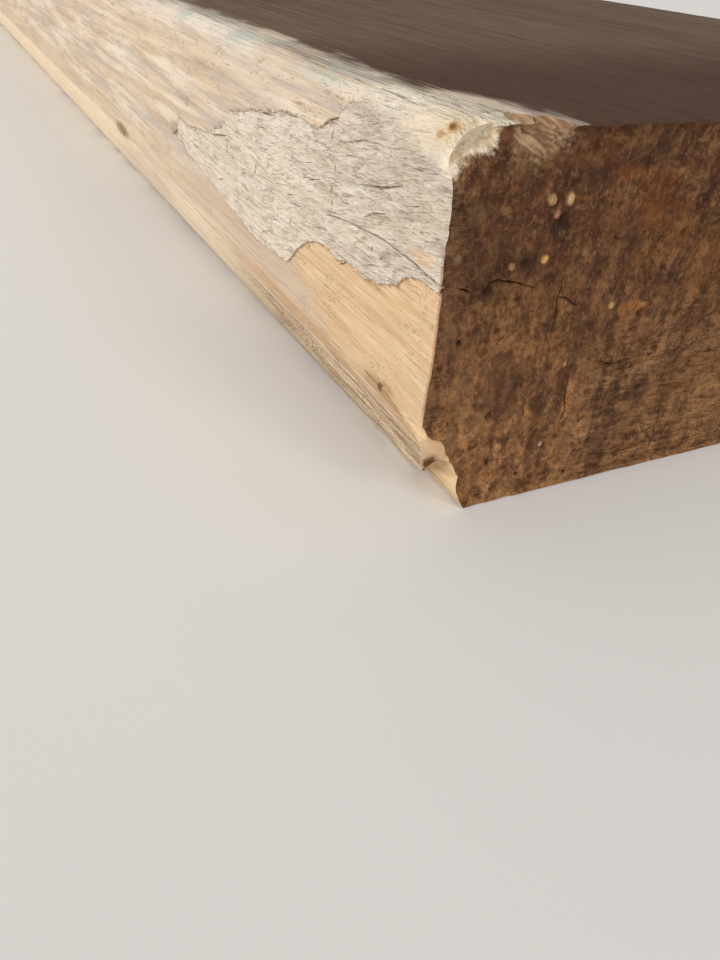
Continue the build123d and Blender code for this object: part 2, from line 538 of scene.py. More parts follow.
class Wear:
    """Everything that shapes the long faces: skin, checks, chips, splinter and the sawn edges."""

    def __init__(self, shape, section):
        self.section = section
        self.thickness = shape.skin_thickness / MM
        self.splinter = Splinter(shape, section)
        self.border = ragged(SKIN_BORDER, 0.42, 0.34, 3)
        self.border[0] = SKIN_BORDER[0]
        self.border[-1] = SKIN_BORDER[-1]
        past_end = np.array([(-4.0, SKIN_BORDER[-1][1]), (-4.0, SKIN_BORDER[0][1])])
        self.skin_outline = np.concatenate([self.border, past_end])
        self.grooves = [
            Groove(corners, width, depth, open_start, seed=40 + number)
            for number, (corners, width, depth, open_start) in enumerate(LEFT_GROOVES)
        ]
        self.grooves += self.hair_checks() + self.long_checks()
        self.chips = [
            (ragged(outline, 0.45, 0.14, 60 + number), *rest)
            for number, (outline, *rest) in enumerate(CHIPS)
        ]
        for outline, *rest in self.chips:
            outline[[0, -1], 0] = 0.0

    def hair_checks(self):
        """Short fine checks, scattered over the skin where nothing else is."""
        rng = np.random.default_rng(11)
        tries = 900
        along = 3.0 + 68.0 * rng.random(tries)
        height = rng.uniform(14.0, 38.0, tries)
        length = rng.uniform(1.4, 3.6, tries) * (1 + along / 60)
        lean = self.lean(along + length) - self.lean(along) + rng.normal(0.0, 0.1, tries) * length
        middle = np.stack([along + length / 2, height - lean / 2], axis=1)
        on_skin = signed_distance(middle, self.skin_outline) > 0.5
        taken = np.concatenate([self.border] + [groove.path for groove in self.grooves])
        found = []
        for number in np.flatnonzero(on_skin):
            start = (along[number], height[number])
            corners = [start, (start[0] + length[number], start[1] - lean[number])]
            gaps = divided(corners, 0.4)[:, None] - taken[None]
            if np.hypot(gaps[..., 0], gaps[..., 1]).min() < 0.9:
                continue
            width, depth = rng.uniform(0.08, 0.15), rng.uniform(0.08, 0.2)
            groove = Groove(corners, width, depth, wander=0.3, seed=100 + int(number))
            found.append(groove)
            taken = np.concatenate([taken, groove.path])
            if len(found) == 44:
                break
        return found

    def lean(self, along):
        """How far the skin's ripples have come down at a place, against its near end."""
        return 0.2 * np.minimum(along, 42.0)

    def long_checks(self):
        """Drying checks along the wide faces and the right face."""
        rng = np.random.default_rng(23)
        top = self.section.top_height(0.0)
        strips = [(top + 22, top + 120, 9), (top + 148, top + 166, 3), (-95.0, -12.0, 6)]
        found = []
        for low, high, count in strips:
            for number in range(count):
                height = low + (number + rng.uniform(0.2, 0.8)) * (high - low) / count
                length = rng.uniform(90.0, 420.0)
                along = rng.uniform(30.0, LENGTH - length - 30.0)
                if rng.random() < 0.35:
                    along = LENGTH - length - rng.uniform(2.0, 6.0)
                lean = rng.uniform(-0.012, 0.012) * length
                corners = [(along, height), (along + length / 2, height + lean), (along + length, height)]
                width, depth = rng.uniform(0.6, 1.5), rng.uniform(1.0, 2.6)
                found.append(Groove(corners, width, depth, step=9.0, wander=0.5, seed=number))
        return found

    def lines(self):
        """All paths that the mesh has to follow, as (along, height)."""
        offset = sideways(self.border) * 0.05
        offset[[0, -1]] = (0.0, 0.05)
        paths = [self.border + offset, self.border - offset]
        for groove in self.grooves:
            paths += groove.lines()
        for outline, *rest in self.chips:
            paths.append(outline)
        paths += self.splinter.lines()
        return paths

    def skin_at(self, points):
        """Distance inside the skin's border in millimetres."""
        inside = np.full(len(points), -3.0)
        near = near_box(points, self.skin_outline, 3.0)
        inside[near] = signed_distance(points[near], self.skin_outline)
        return np.clip(inside, -3.0, 3.0)

    def undulation(self, along, height):
        """Gentle unevenness of the whole surface, in millimetres from 0 to about 0.3."""
        far = spread(along, 20.0, 160.0)
        wide = 0.16 * (1 + layered(along / 170.0, height / 16.0, 1, 3)) * far
        ridges = 0.05 * (1 + layered(along / 42.0, height / 1.7, 2, 2))
        return 0.25 * wide + ridges

    def waves(self, along, height):
        """Scale-like ripples of the skin, strongest by the near end."""
        slant = height + self.lean(along)
        sway = 0.5 * ripple(along / 2.6, height / 2.0, 8)
        swell = 0.5 + 0.5 * layered(along / 4.2, (slant + sway) / 1.05, 9, 2)
        strength = (1.0 - 0.75 * spread(along, 14.0, 48.0)) * (0.45 + 0.55 * spread(height, 24.0, 31.0))
        fine = 0.5 + 0.5 * layered(along / 1.6, slant / 0.5, 10, 2)
        return 0.34 * strength * swell**2 + 0.09 * fine

    def apply(self, along, height):
        """Depth of each surface point, its distance inside the skin and its share of a check."""
        points = np.stack([along, height], axis=1)
        skin = self.skin_at(points)
        worn = 1.0 - spread(skin, -0.05, 0.05)
        depth = self.undulation(along, height)
        depth += (1.0 - worn) * self.waves(along, height)
        grain = 0.5 + 0.5 * layered(along / 26.0, height / 0.55, 12, 2)
        recess = (0.25 + 0.75 * spread(height, 12.0, 18.0)) * (1.0 - 0.6 * spread(along, 90.0, 130.0))
        depth += worn * (self.thickness + 0.07 * grain) * recess
        check = np.zeros(len(along))
        for groove in self.grooves:
            carved = groove.carve(points)
            depth += carved * groove.depth
            check = np.maximum(check, carved * min(1.0, groove.depth / 0.4))
        ripples = 0.14 * ripple(along / 1.4, height / 0.45, 14)
        for outline, deepest, reach, deepest_depth, steepness in self.chips:
            near = near_box(points, outline, 0.5)
            inside = np.zeros(len(along))
            inside[near] = np.clip(signed_distance(points[near], outline), 0.0, None)
            share = np.hypot((along - deepest[0]) / reach[0], (height - deepest[1]) / reach[1])
            slope = deepest_depth * np.clip(1.0 - share, 0.0, 1.0) + ripples
            depth += np.minimum(np.clip(slope, 0.0, None), steepness * inside)
        return depth, skin, check


def mesh_strips(section):
    """Strips round the outline: low and high end, coarseness, and the widest steps across and along."""
    top = section.top_height(0.0)
    low_end = section.height_of(0.0)
    high_end = section.height_of(section.length)
    bottom = section.height_of(section.wane_start)
    right_arc = section.height_of(section.right_begins)
    turn = section.height_of(section.underside_begins)
    return [
        (low_end, bottom - 9.0, 8.0, 7.0, 14.0),
        (bottom - 9.0, bottom - 0.8, 3.0, 4.0, 12.0),
        (bottom - 0.8, top + 11.0, 1.0, 1.45, 8.0),
        (top + 11.0, top + 26.0, 2.0, 2.6, 10.0),
        (top + 26.0, top + 52.0, 4.5, 5.0, 12.0),
        (top + 52.0, right_arc - 6.0, 8.0, 7.0, 14.0),
        (right_arc - 6.0, right_arc + 1.0, 2.6, 1.2, 12.0),
        (right_arc + 1.0, turn - 6.0, 8.0, 7.0, 14.0),
        (turn - 6.0, turn + 1.0, 2.6, 1.2, 12.0),
        (turn + 1.0, high_end, 8.0, 7.0, 14.0),
    ]


def scattered_points(strips, finest):
    """Slightly uneven rows of points, as (along, height, spacing), closer together near the camera."""
    rng = np.random.default_rng(7)
    near_distance = hypot(CAMERA_PLACE[0], CAMERA_PLACE[2] - THICKNESS / 2)

    def spacing(along, factor, widest):
        distance = hypot(along - CAMERA_PLACE[1], near_distance)
        return min(max(distance / 260.0, finest) * factor, widest)

    points = []
    for low, high, factor, widest_across, widest_along in strips:
        along = 0.0
        row = 0
        while True:
            across_step = spacing(along, factor, widest_across)
            along_step = spacing(along, 1.35 * factor, widest_along)
            if along > LENGTH - 0.6 * along_step:
                along = LENGTH
            count = max(1, round((high - low) / across_step))
            step = (high - low) / count
            heights = low + (np.arange(count) + (0.25 if row % 2 else 0.75)) * step
            rows = np.full(count, along)
            if 0.0 < along < LENGTH:
                heights = heights + rng.uniform(-0.14, 0.14, count) * step
                rows = rows + rng.uniform(-0.14, 0.14, count) * along_step
            sizes = np.full(count, min(step, along_step))
            points.append(np.stack([rows, heights, sizes], axis=1))
            if along == LENGTH:
                break
            along += along_step
            row += 1
    return np.concatenate(points)


def build_long_faces(shape, section, wear, hole):
    """Points, as (along, height), and triangles of the long faces, unrolled flat."""
    paths = wear.lines()
    points = scattered_points(mesh_strips(section), shape.finest_spacing / MM)
    keep = np.ones(len(points), bool)
    for path in paths:
        near = near_box(points[:, :2], path, 3.0)
        distance = nearest_on_path(points[near, :2], path)[0]
        keep[near] &= distance > 0.42 * np.minimum(points[near, 2], 1.2)
    points = points[keep, :2]

    seam_rows = np.arange(0.0, LENGTH + 0.01, LENGTH / 180)
    seam_low = np.stack([seam_rows, seam_rows * 0.0 + section.height_of(0.0)], axis=1)
    seam_high = np.stack([seam_rows, seam_rows * 0.0 + section.height_of(section.length)], axis=1)
    chunks = [seam_low, seam_high, points]
    edges = []
    start = len(seam_low) + len(seam_high) + len(points)
    turns = np.linspace(0.0, 2 * pi, 13)[:-1]
    for radius in (0.5, 0.4):
        ring = np.stack([hole[0] + radius * np.cos(turns), hole[1] + radius * np.sin(turns)], axis=1)
        paths.append(np.concatenate([ring, ring[:1]]))
    for path in paths:
        chunks.append(path)
        edges += [(start + number, start + number + 1) for number in range(len(path) - 1)]
        start += len(path)
    flat = np.concatenate(chunks)
    corners = [Vector((height, along)) for along, height in flat]
    placed, found_edges, triangles, *rest = delaunay_2d_cdt(corners, edges, [], 0, 1e-6)
    return np.array([(point.y, point.x) for point in placed]), np.array(triangles)


def wrap(flat, section, wear, hole):
    """Places the flat points of the long faces round the section, with their relief and marks."""
    along, height = flat[:, 0].copy(), flat[:, 1].copy()
    depth, skin, check = wear.apply(along, height)
    splinter = wear.splinter
    gap_dirt_and_shade = np.zeros(len(flat))

    near = near_box(flat, splinter.opened, 1.0)
    facet = np.full(len(flat), -1.0)
    facet[near] = signed_distance(flat[near], splinter.facet)
    on_facet = (facet > -1e-4) & (height < splinter.top + 1e-4) & (along < splinter.back - 1e-3)
    tucked, gap_dirt_and_shade[on_facet] = splinter.tucked_in(flat[on_facet])
    moved_along = along.copy()
    moved_height = height.copy()
    moved_along[on_facet] += tucked[:, 0]
    moved_height[on_facet] += tucked[:, 1]

    across, up, out_across, out_up = section.place(section.around_at(moved_height))
    plane = splinter.plane_depth(across, up, out_across, out_up)
    rough = 0.07 * (1 + layered(moved_along / 3.5, moved_height / 0.7, 21, 3))
    rounded = 0.95 * (1 - spread(along, 0.0, 4.2)) * spread(splinter.top - height, 1.4, 3.4)
    rounded *= spread(height, 0.0, 2.6)
    rounded *= 1.0 + 0.22 * ripple(height / 1.1, height * 0.0, 22)
    split_depth = plane + (rough + rounded) * spread(plane, 0.0, 0.5)
    foot_distance = np.full(len(flat), 9.0)
    foot_distance[near] = nearest_on_path(flat[near], splinter.foot_line)[0]
    held = spread(height, 2.4, 6.4) * (1.0 - spread(foot_distance, 0.0, 0.8)) * spread(along, 0.0, 0.3)
    split_depth *= 1.0 - 0.6 * held
    ragged_rim = 0.12 * ripple(height / 0.8, along / 2.0, 24) * spread(height, 1.0, 2.5)
    split_depth += ragged_rim * (1.0 - spread(along, 0.0, 2.4)) * spread(plane, 0.4, 0.9)

    lifted = (height < splinter.top - 0.02) & (along < splinter.back) & ~on_facet
    middle = np.sin(pi * np.clip((height - splinter.bottom) / (splinter.top - splinter.bottom), 0.0, 1.0))
    lift = splinter.lift * middle * np.clip(1.0 - along / splinter.back, 0.0, 1.0) ** 1.5
    on_splinter = np.minimum(depth * 0.7, np.maximum(plane - 0.1, 0.0)) - lift
    edge_distance = np.full(len(flat), 9.0)
    edge_distance[near] = nearest_on_path(flat[near], splinter.edge[: splinter.tip_number + 2])[0]
    seep = (1.0 - spread(edge_distance, 0.1, 1.2)) * spread(along, 1.5, 4.5)
    seep *= 1.0 - spread(along, 9.0, 14.0)
    depth = np.where(on_facet, np.maximum(depth, split_depth), np.where(lifted, on_splinter, depth))

    hole_distance = np.hypot(along - hole[0], height - hole[1])
    depth += 2.2 * (1.0 - spread(hole_distance, 0.4, 0.5))
    check = np.maximum(check, 1.0 - spread(hole_distance, 0.4, 0.55))

    around = section.around_at(height)
    seam = spread(np.minimum(around, section.length - around), 0.0, 6.0)
    depth *= seam
    for end in (0.0, LENGTH):
        inward = 1.0 if end == 0.0 else -1.0
        beside = np.abs(along - end)
        torn = 0.5 + 0.5 * layered(around / 0.9, around * 0.0 + end, 33, 3)
        depth += (0.05 + 0.16 * torn**2) * (1.0 - spread(beside, 0.0, 0.55)) * seam
        moved_along += inward * (0.05 + 0.3 * torn**3) * (1.0 - spread(beside, 0.0, 0.6))
    across = across - depth * out_across
    up = up - depth * out_up
    torn_away = np.zeros(len(flat))
    by_end = along < 3.6
    torn_away[by_end] = corner_wear(across[by_end], up[by_end])
    torn_away *= 1.0 - spread(along, 0.0, 3.6)
    moved_along += CORNER_SET_BACK * torn_away
    place = np.stack([np.maximum(across, 0.0), moved_along, np.maximum(up, 0.0)], axis=1)
    wane = np.clip(splinter.top - height, -5.0, 20.0)
    marks = {"skin": skin, "check": check, "gap_dirt_and_shade": gap_dirt_and_shade, "wane": wane, "seep": seep, "torn": torn_away}
    return place, marks


def corner_wear(across, up):
    """Share from 0 to 1 by which the near end's upper left corner has worn down to pale wood."""
    inside = signed_distance(np.stack([across, up], axis=1), WORN_CORNER)
    return spread(inside, -0.7, 1.1)


# Middles of the growth rings and of the saw's sweep, as (across, up)
RING_CENTRE = (62.0, 44.0)
SAW_CENTRE = (34.0, 30.0)


def end_relief(across, up, seed):
    """Rough sawn end: torn fibre ends, saw marks and pits, in millimetres inward."""
    reach = np.hypot(across - SAW_CENTRE[0], up - SAW_CENTRE[1])
    turned = np.arctan2(up - SAW_CENTRE[1], across - SAW_CENTRE[0]) * 20.0
    streaks = layered(reach / 0.8, turned / 2.4, seed, 3)
    lumps = layered(across / 1.4, up / 1.7, seed + 1, 3)
    broad = layered(across / 5.0, up / 9.0, seed + 2, 2)
    pits = spread(ripple(across / 0.9, up / 0.9, seed + 3), 0.5, 0.95)
    fibres = layered(across / 3.0, up / 0.7, seed + 4, 2)
    fibres = fibres * spread(across, 18.0, 27.0) * (1 - spread(up, 12.0, 19.0))
    rough = 0.1 * streaks + 0.34 * lumps + 0.24 * broad + 0.2 * pits + 0.22 * fibres
    return np.clip(0.5 + rough, 0.05, None)


def end_pits(across, up):
    """Dark pits of the near end, from 0 outside to 1 at their middles."""
    pits = np.zeros(len(across))
    wander = 0.35 * layered(across / 0.5, up / 0.5, 58, 2)
    for pit_across, pit_up, width in END_PITS:
        distance = np.hypot(across - pit_across, up - pit_up) / width + wander
        pits = np.maximum(pits, 1.0 - spread(distance, 0.4, 1.1))
    return pits


def end_depth(points, grooves, near, seed):
    """How far in each point of a sawn end lies, and the marks of its checks and its worn corner."""
    across, up = points[:, 0], points[:, 1]
    recess = end_relief(across, up, seed)
    check = np.zeros(len(points))
    for groove in grooves:
        carved = groove.carve(points)
        recess += carved * groove.depth
        check = np.maximum(check, carved)
    torn_away = np.zeros(len(points))
    if near:
        pits = end_pits(across, up)
        recess += 0.5 * pits
        check = np.maximum(check, 0.6 * pits)
        torn_away = corner_wear(across, up)
        recess += CORNER_SET_BACK * torn_away
        for crumb_across, crumb_up, width, tone in END_CRUMBS:
            beside = np.hypot(across - crumb_across, up - crumb_up) / width
            recess -= 0.8 * width * np.sqrt(np.clip(1.0 - beside**2, 0.0, None))
        recess = np.maximum(recess, 0.0)
    return recess, {"check": check, "torn": torn_away}


def build_end(rim, grooves, spacing, seed):
    """Points, as (across, up), and triangles of a sawn end, and each point's number on the rim or -1."""
    rng = np.random.default_rng(seed)
    columns = []
    across = 0.3
    row = 0
    while across < WIDTH:
        step = spacing(across)
        count = int(THICKNESS / step)
        up = (np.arange(count) + (0.25 if row % 2 else 0.75)) * step
        jitter = rng.uniform(-0.16, 0.16, (2, count)) * step
        column = [np.full(count, across) + jitter[0], up + jitter[1], up * 0.0 + step]
        columns.append(np.stack(column, axis=1))
        across += 0.87 * step
        row += 1
    points = np.concatenate(columns)
    inside = signed_distance(points[:, :2], rim)
    points = points[inside > 0.42 * np.minimum(points[:, 2], 0.8)]
    chunks = [rim]
    edges = [(number, (number + 1) % len(rim)) for number in range(len(rim))]
    start = len(rim)
    keep = np.ones(len(points), bool)
    for groove in grooves:
        for path in groove.lines():
            chunks.append(path)
            edges += [(start + number, start + number + 1) for number in range(len(path) - 1)]
            start += len(path)
            keep &= nearest_on_path(points[:, :2], path)[0] > 0.4 * points[:, 2]
    chunks.append(points[keep, :2])
    corners = [Vector(point) for point in np.concatenate(chunks)]
    outline = [list(range(len(rim)))]
    placed, found_edges, triangles, origins, *rest = delaunay_2d_cdt(corners, edges, outline, 1, 1e-6)
    rim_of = [next((number for number in origin if number < len(rim)), -1) for origin in origins]
    return np.array([tuple(point) for point in placed]), np.array(triangles), np.array(rim_of)


def far_end_checks():
    """Drying checks in the far end, running from near the log's centre outward."""
    rng = np.random.default_rng(5)
    checks = []
    for angle in (-170.0, -128.0, -95.0, -62.0, -22.0):
        turn = radians(angle + rng.uniform(-6, 6))
        first, last = rng.uniform(9.0, 16.0), rng.uniform(26.0, 40.0)
        corners = []
        for reach in np.linspace(first, last, 4):
            across = RING_CENTRE[0] + reach * cos(turn)
            up = min(RING_CENTRE[1] + reach * sin(turn), THICKNESS - 3.0)
            corners.append((across, max(up, 2.5)))
        width, depth = rng.uniform(0.6, 1.1), rng.uniform(1.5, 2.8)
        checks.append(Groove(corners, width, depth, step=2.0, seed=int(angle) + 200))
    return checks


def in_order_at(flat, axis, wanted):
    """Numbers of the flat points at a value of one axis, in order along the other."""
    found = np.flatnonzero(np.abs(flat[:, axis] - wanted) < 1e-4)
    return found[np.argsort(flat[found, 1 - axis])]


def near_end_spacing(across):
    """Distance between the near end's mesh points, closer together near the camera."""
    distance = sqrt((across - CAMERA_PLACE[0]) ** 2 + CAMERA_PLACE[1] ** 2 + 20.0**2)
    return max(distance / 225.0, 0.3) if across < 52.0 else 1.7


LONG_FACE, SAWN_FACE, SPLIT_FACE = range(3)


def board_mesh(shape):
    """Builds the whole closed surface of the board as one mesh."""
    section = Section(shape)
    wear = Wear(shape, section)
    hole = (shape.hole_from_end / MM, shape.hole_height / MM)
    flat, triangles = build_long_faces(shape, section, wear, hole)
    place, marks = wrap(flat, section, wear, hole)

    high_end = section.height_of(section.length)
    twin = np.arange(len(flat))
    twin[in_order_at(flat, 1, high_end)] = in_order_at(flat, 1, section.height_of(0.0))
    middles = flat[triangles].mean(1)
    kinds = np.full(len(triangles), LONG_FACE)
    for outline in (wear.splinter.opened, wear.chips[1][0]):
        near = np.flatnonzero(near_box(middles, outline, 0.1))
        kinds[near[signed_distance(middles[near], outline) > 0]] = SPLIT_FACE

    places = [place]
    faces = [twin[triangles]]
    face_kinds = [kinds]
    all_marks = {name: [values] for name, values in marks.items()}
    total = len(place)
    near_grooves = [Groove(*corners_and_size, step=0.45, seed=70) for corners_and_size in END_GROOVES]
    ends = (
        (0.0, near_grooves, near_end_spacing, 51),
        (LENGTH, far_end_checks(), lambda across: 1.5, 52),
    )
    for wanted, grooves, spacing, seed in ends:
        near = wanted == 0.0
        rim_numbers = in_order_at(flat, 0, wanted)
        rim_numbers = rim_numbers[flat[rim_numbers, 1] < high_end - 1e-4]
        rim = place[rim_numbers][:, [0, 2]]
        points, triangles, rim_of = build_end(rim, grooves, spacing, seed)
        inner = np.flatnonzero(rim_of < 0)
        number = np.empty(len(points), int)
        number[rim_of >= 0] = rim_numbers[rim_of[rim_of >= 0]]
        number[inner] = total + np.arange(len(inner))
        total += len(inner)
        recess, end_marks = end_depth(points, grooves, near, seed)
        along = recess if near else LENGTH - recess
        places.append(np.stack([points[inner, 0], along[inner], points[inner, 1]], axis=1))
        triangles = number[triangles]
        faces.append(triangles if near else triangles[:, ::-1])
        face_kinds.append(np.full(len(triangles), SAWN_FACE))
        for name in all_marks:
            all_marks[name].append(end_marks.get(name, np.zeros(len(points)))[inner])
    return joined_mesh(np.concatenate(places), np.concatenate(faces), np.concatenate(face_kinds), all_marks)


def joined_mesh(place, faces, kinds, marks):
    """Mesh of points in board millimetres, with a material number for each face and marks for each point."""
    place = place * MM + np.array(board_low)
    used = np.zeros(len(place), bool)
    used[faces] = True
    renumbered = np.cumsum(used) - 1
    mesh = bpy.data.meshes.new("weathered_board")
    mesh.from_pydata(place[used].tolist(), [], renumbered[faces].tolist())
    for name, values in marks.items():
        attribute = mesh.attributes.new(name, "FLOAT", "POINT")
        attribute.data.foreach_set("value", np.concatenate(values)[used].astype(np.float32))
    mesh.polygons.foreach_set("material_index", kinds.astype(np.int32))
    mesh.polygons.foreach_set("use_smooth", np.ones(len(faces), bool))
    mesh.update()
    mesh.set_sharp_from_angle(angle=radians(48))
    return mesh


class Nodes:
    """Short calls that place shader nodes in one tree."""

    def __init__(self, tree):
        self.tree = tree

    def add(self, kind, *values, **settings):
        """New node with those settings, and with those values on its first sockets."""
        node = self.tree.nodes.new(kind)
        for name, value in settings.items():
            setattr(node, name, value)
        for socket, value in zip(node.inputs, values):
            self.feed(socket, value)
        return node

    def feed(self, socket, value):
        if isinstance(value, bpy.types.NodeSocket):
            self.tree.links.new(value, socket)
        elif socket.type == "RGBA":
            socket.default_value = (*value, 1.0)
        else:
            socket.default_value = value

    def math(self, operation, *values):
        return self.add("ShaderNodeMath", *values, operation=operation).outputs[0]

    def times(self, first, *others):
        for other in others:
            first = self.math("MULTIPLY", first, other)
        return first

    def vector(self, operation, *values):
        outputs = self.add("ShaderNodeVectorMath", *values, operation=operation).outputs
        return outputs["Value" if operation == "LENGTH" else "Vector"]

    def join(self, x, y, z):
        return self.add("ShaderNodeCombineXYZ", x, y, z).outputs[0]

    def parts(self, vector):
        return self.add("ShaderNodeSeparateXYZ", vector).outputs

    def noise(self, vector, scale, detail=2.0, roughness=0.5):
        """Noise from 0 to 1 of a vector that is first scaled, by a vector."""
        node = self.add("ShaderNodeTexNoise")
        self.feed(node.inputs["Vector"], self.vector("MULTIPLY", vector, scale))
        self.feed(node.inputs["Scale"], 1.0)
        self.feed(node.inputs["Detail"], detail)
        self.feed(node.inputs["Roughness"], roughness)
        return node.outputs["Fac"]

    def cells(self, vector, scale):
        node = self.add("ShaderNodeTexVoronoi")
        self.feed(node.inputs["Vector"], self.vector("MULTIPLY", vector, scale))
        self.feed(node.inputs["Scale"], 1.0)
        return node.outputs["Distance"]

    def span(self, value, low, high, to_low=0.0, to_high=1.0):
        """Runs smoothly from to_low to to_high as the value goes from low to high."""
        ends = (low, high, to_low, to_high)
        return self.add("ShaderNodeMapRange", value, *ends, interpolation_type="SMOOTHSTEP").outputs[0]

    def wander(self, value, noise, amount):
        """Value that strays to both sides with a noise."""
        return self.math("MULTIPLY_ADD", self.math("SUBTRACT", noise, 0.5), amount, value)

    def blend(self, share, first, second):
        """Mix of two colours, each a socket, a property or a tone as it looks on screen, from 0 to 255."""
        node = self.add("ShaderNodeMix", share, data_type="RGBA", blend_type="MIX")
        for socket, value in zip(node.inputs[6:8], (first, second)):
            self.feed(socket, shade(*value) if isinstance(value, tuple) else value)
        return node.outputs[2]

    def paint(self, base, *layers):
        """Lays tones over a base, each as (mask, strength, tone) or (value, low, high, strength, tone)."""
        for value, *ends, strength, tone in layers:
            share = self.span(value, *ends, 0.0, strength) if ends else self.times(value, strength)
            base = self.blend(share, base, tone)
        return base

    def mark(self, name):
        return self.add("ShaderNodeAttribute", attribute_name=name).outputs["Fac"]

    def group(self, tree, **values):
        node = self.add("ShaderNodeGroup", node_tree=tree)
        for name, value in values.items():
            self.feed(node.inputs[name.capitalize()], value)
        return node.outputs[0]


VECTOR_SOCKETS = ("Place", "Centre", "Reach")


def new_group(name, inputs, output):
    """Node group with those inputs and that output: its tree, nodes, inputs by name and result."""
    tree = bpy.data.node_groups.new(name, "ShaderNodeTree")
    for sockets, direction in ((inputs, "INPUT"), ([output], "OUTPUT")):
        for socket in sockets:
            kind = "NodeSocketVector" if socket in VECTOR_SOCKETS else "NodeSocketFloat"
            tree.interface.new_socket(socket, in_out=direction, socket_type=kind)
    entry = tree.nodes.new("NodeGroupInput")
    leave = tree.nodes.new("NodeGroupOutput")
    return tree, Nodes(tree), entry.outputs, leave.inputs[0]


def board_place_group():
    """Place on the board in millimetres: across, along from the near end, and up."""
    tree, nodes, given, result = new_group("Board place", [], "Place")
    place = nodes.add("ShaderNodeTexCoord").outputs["Object"]
    moved = nodes.vector("SUBTRACT", place, tuple(board_low))
    nodes.feed(result, nodes.vector("MULTIPLY", moved, (1 / MM, 1 / MM, 1 / MM)))
    return tree


def per_streak(nodes, given):
    """Scale that makes a noise as wide and as long as the group's inputs say."""
    thin = nodes.math("DIVIDE", 1.0, given["Width"])
    long = nodes.math("DIVIDE", 1.0, given["Length"])
    return nodes.join(thin, long, thin)


def fibres_group():
    """Streaks along the grain, that many millimetres wide and long."""
    tree, nodes, given, result = new_group("Fibres", ["Place", "Width", "Length", "Detail"], "Streak")
    streak = nodes.noise(given["Place"], per_streak(nodes, given), given["Detail"], 0.55)
    nodes.feed(result, nodes.span(streak, 0.28, 0.72))
    return tree


def dashes_group():
    """Short dark dashes along the grain, in clusters. Amount is from 0, none, to 1, dense."""
    tree, nodes, given, result = new_group("Dashes", ["Place", "Width", "Length", "Amount"], "Mask")
    sway = nodes.times(nodes.noise(given["Place"], (0.35, 0.35, 0.35), 1.0), 2.2)
    bent = nodes.vector("ADD", given["Place"], nodes.join(sway, 0.0, sway))
    grain = nodes.noise(bent, per_streak(nodes, given), 1.5, 0.6)
    clusters = nodes.noise(given["Place"], (0.4, 0.16, 0.4))
    level = nodes.math("MULTIPLY_ADD", given["Amount"], -0.22, 0.76)
    level = nodes.math("MULTIPLY_ADD", nodes.math("SUBTRACT", 0.5, clusters), 0.35, level)
    nodes.feed(result, nodes.span(nodes.math("SUBTRACT", grain, level), 0.0, 0.06))
    return tree


def wavy_lines_group():
    """Thin wavy lines along the grain, broken up in clusters. Amount is from 0, none, to 1, dense."""
    tree, nodes, given, result = new_group("Wavy lines", ["Place", "Width", "Length", "Amount"], "Mask")
    folds = nodes.noise(given["Place"], per_streak(nodes, given), 2.5, 0.6)
    fold = nodes.math("ABSOLUTE", nodes.math("SUBTRACT", folds, 0.5))
    clusters = nodes.noise(given["Place"], (0.6, 0.28, 0.6))
    reach = nodes.math("MULTIPLY_ADD", given["Amount"], 0.16, nodes.math("SUBTRACT", clusters, 0.56))
    reach = nodes.times(nodes.span(reach, -0.08, 0.12), 0.03)
    nodes.feed(result, nodes.span(nodes.math("SUBTRACT", reach, fold), -0.004, 0.016))
    return tree


def blotches_group():
    """Soft patches of that size and stretch along the grain."""
    tree, nodes, given, result = new_group("Blotches", ["Place", "Size", "Stretch", "Offset"], "Mask")
    wide = nodes.math("DIVIDE", 1.0, given["Size"])
    long = nodes.math("DIVIDE", wide, given["Stretch"])
    placed = nodes.vector("MULTIPLY", given["Place"], nodes.join(wide, long, wide))
    moved = nodes.vector("ADD", placed, nodes.join(given["Offset"], given["Offset"], given["Offset"]))
    nodes.feed(result, nodes.span(nodes.noise(moved, (1.0, 1.0, 1.0), 3.0, 0.6), 0.36, 0.64))
    return tree


def rings_group():
    """Late wood of the growth rings about the log's centre, from 0 to 1."""
    tree, nodes, given, result = new_group("Growth rings", ["Place"], "Late wood")
    across, along, up = nodes.parts(given["Place"])
    drift = nodes.noise(nodes.join(along, 3.1, 0.0), (1 / 420.0, 1.0, 1.0), 1.0)
    drift = nodes.math("MULTIPLY_ADD", drift, 34.0, RING_CENTRE[0] - 17.0)
    from_centre = nodes.math("SUBTRACT", across, drift)
    over_centre = nodes.math("SUBTRACT", up, RING_CENTRE[1])
    waver = nodes.times(nodes.noise(given["Place"], (0.06, 0.006, 0.06)), 5.0)
    reach = nodes.vector("LENGTH", nodes.join(from_centre, 0.0, over_centre))
    reach = nodes.math("ADD", reach, waver)
    uneven = nodes.noise(nodes.join(reach, 0.0, 7.7), (1 / 6.0, 1.0, 1.0), 1.0)
    count = nodes.math("MULTIPLY_ADD", uneven, 1.6, nodes.math("DIVIDE", reach, 2.9))
    year = nodes.math("FRACT", count)
    nodes.feed(result, nodes.times(nodes.span(year, 0.35, 0.9), nodes.span(year, 0.93, 1.0, 1.0, 0.0)))
    return tree


def stain_group():
    """Soft-edged spot round a place, with a ragged border."""
    tree, nodes, given, result = new_group("Stain", ["Place", "Centre", "Reach", "Ragged"], "Mask")
    scaled = nodes.vector("DIVIDE", nodes.vector("SUBTRACT", given["Place"], given["Centre"]), given["Reach"])
    noise = nodes.noise(given["Place"], (1.7, 1.1, 1.7), 3.0)
    shift = nodes.times(nodes.math("SUBTRACT", noise, 0.5), given["Ragged"])
    distance = nodes.math("ADD", nodes.vector("LENGTH", scaled), shift)
    nodes.feed(result, nodes.span(distance, 0.45, 1.0, 1.0, 0.0))
    return tree


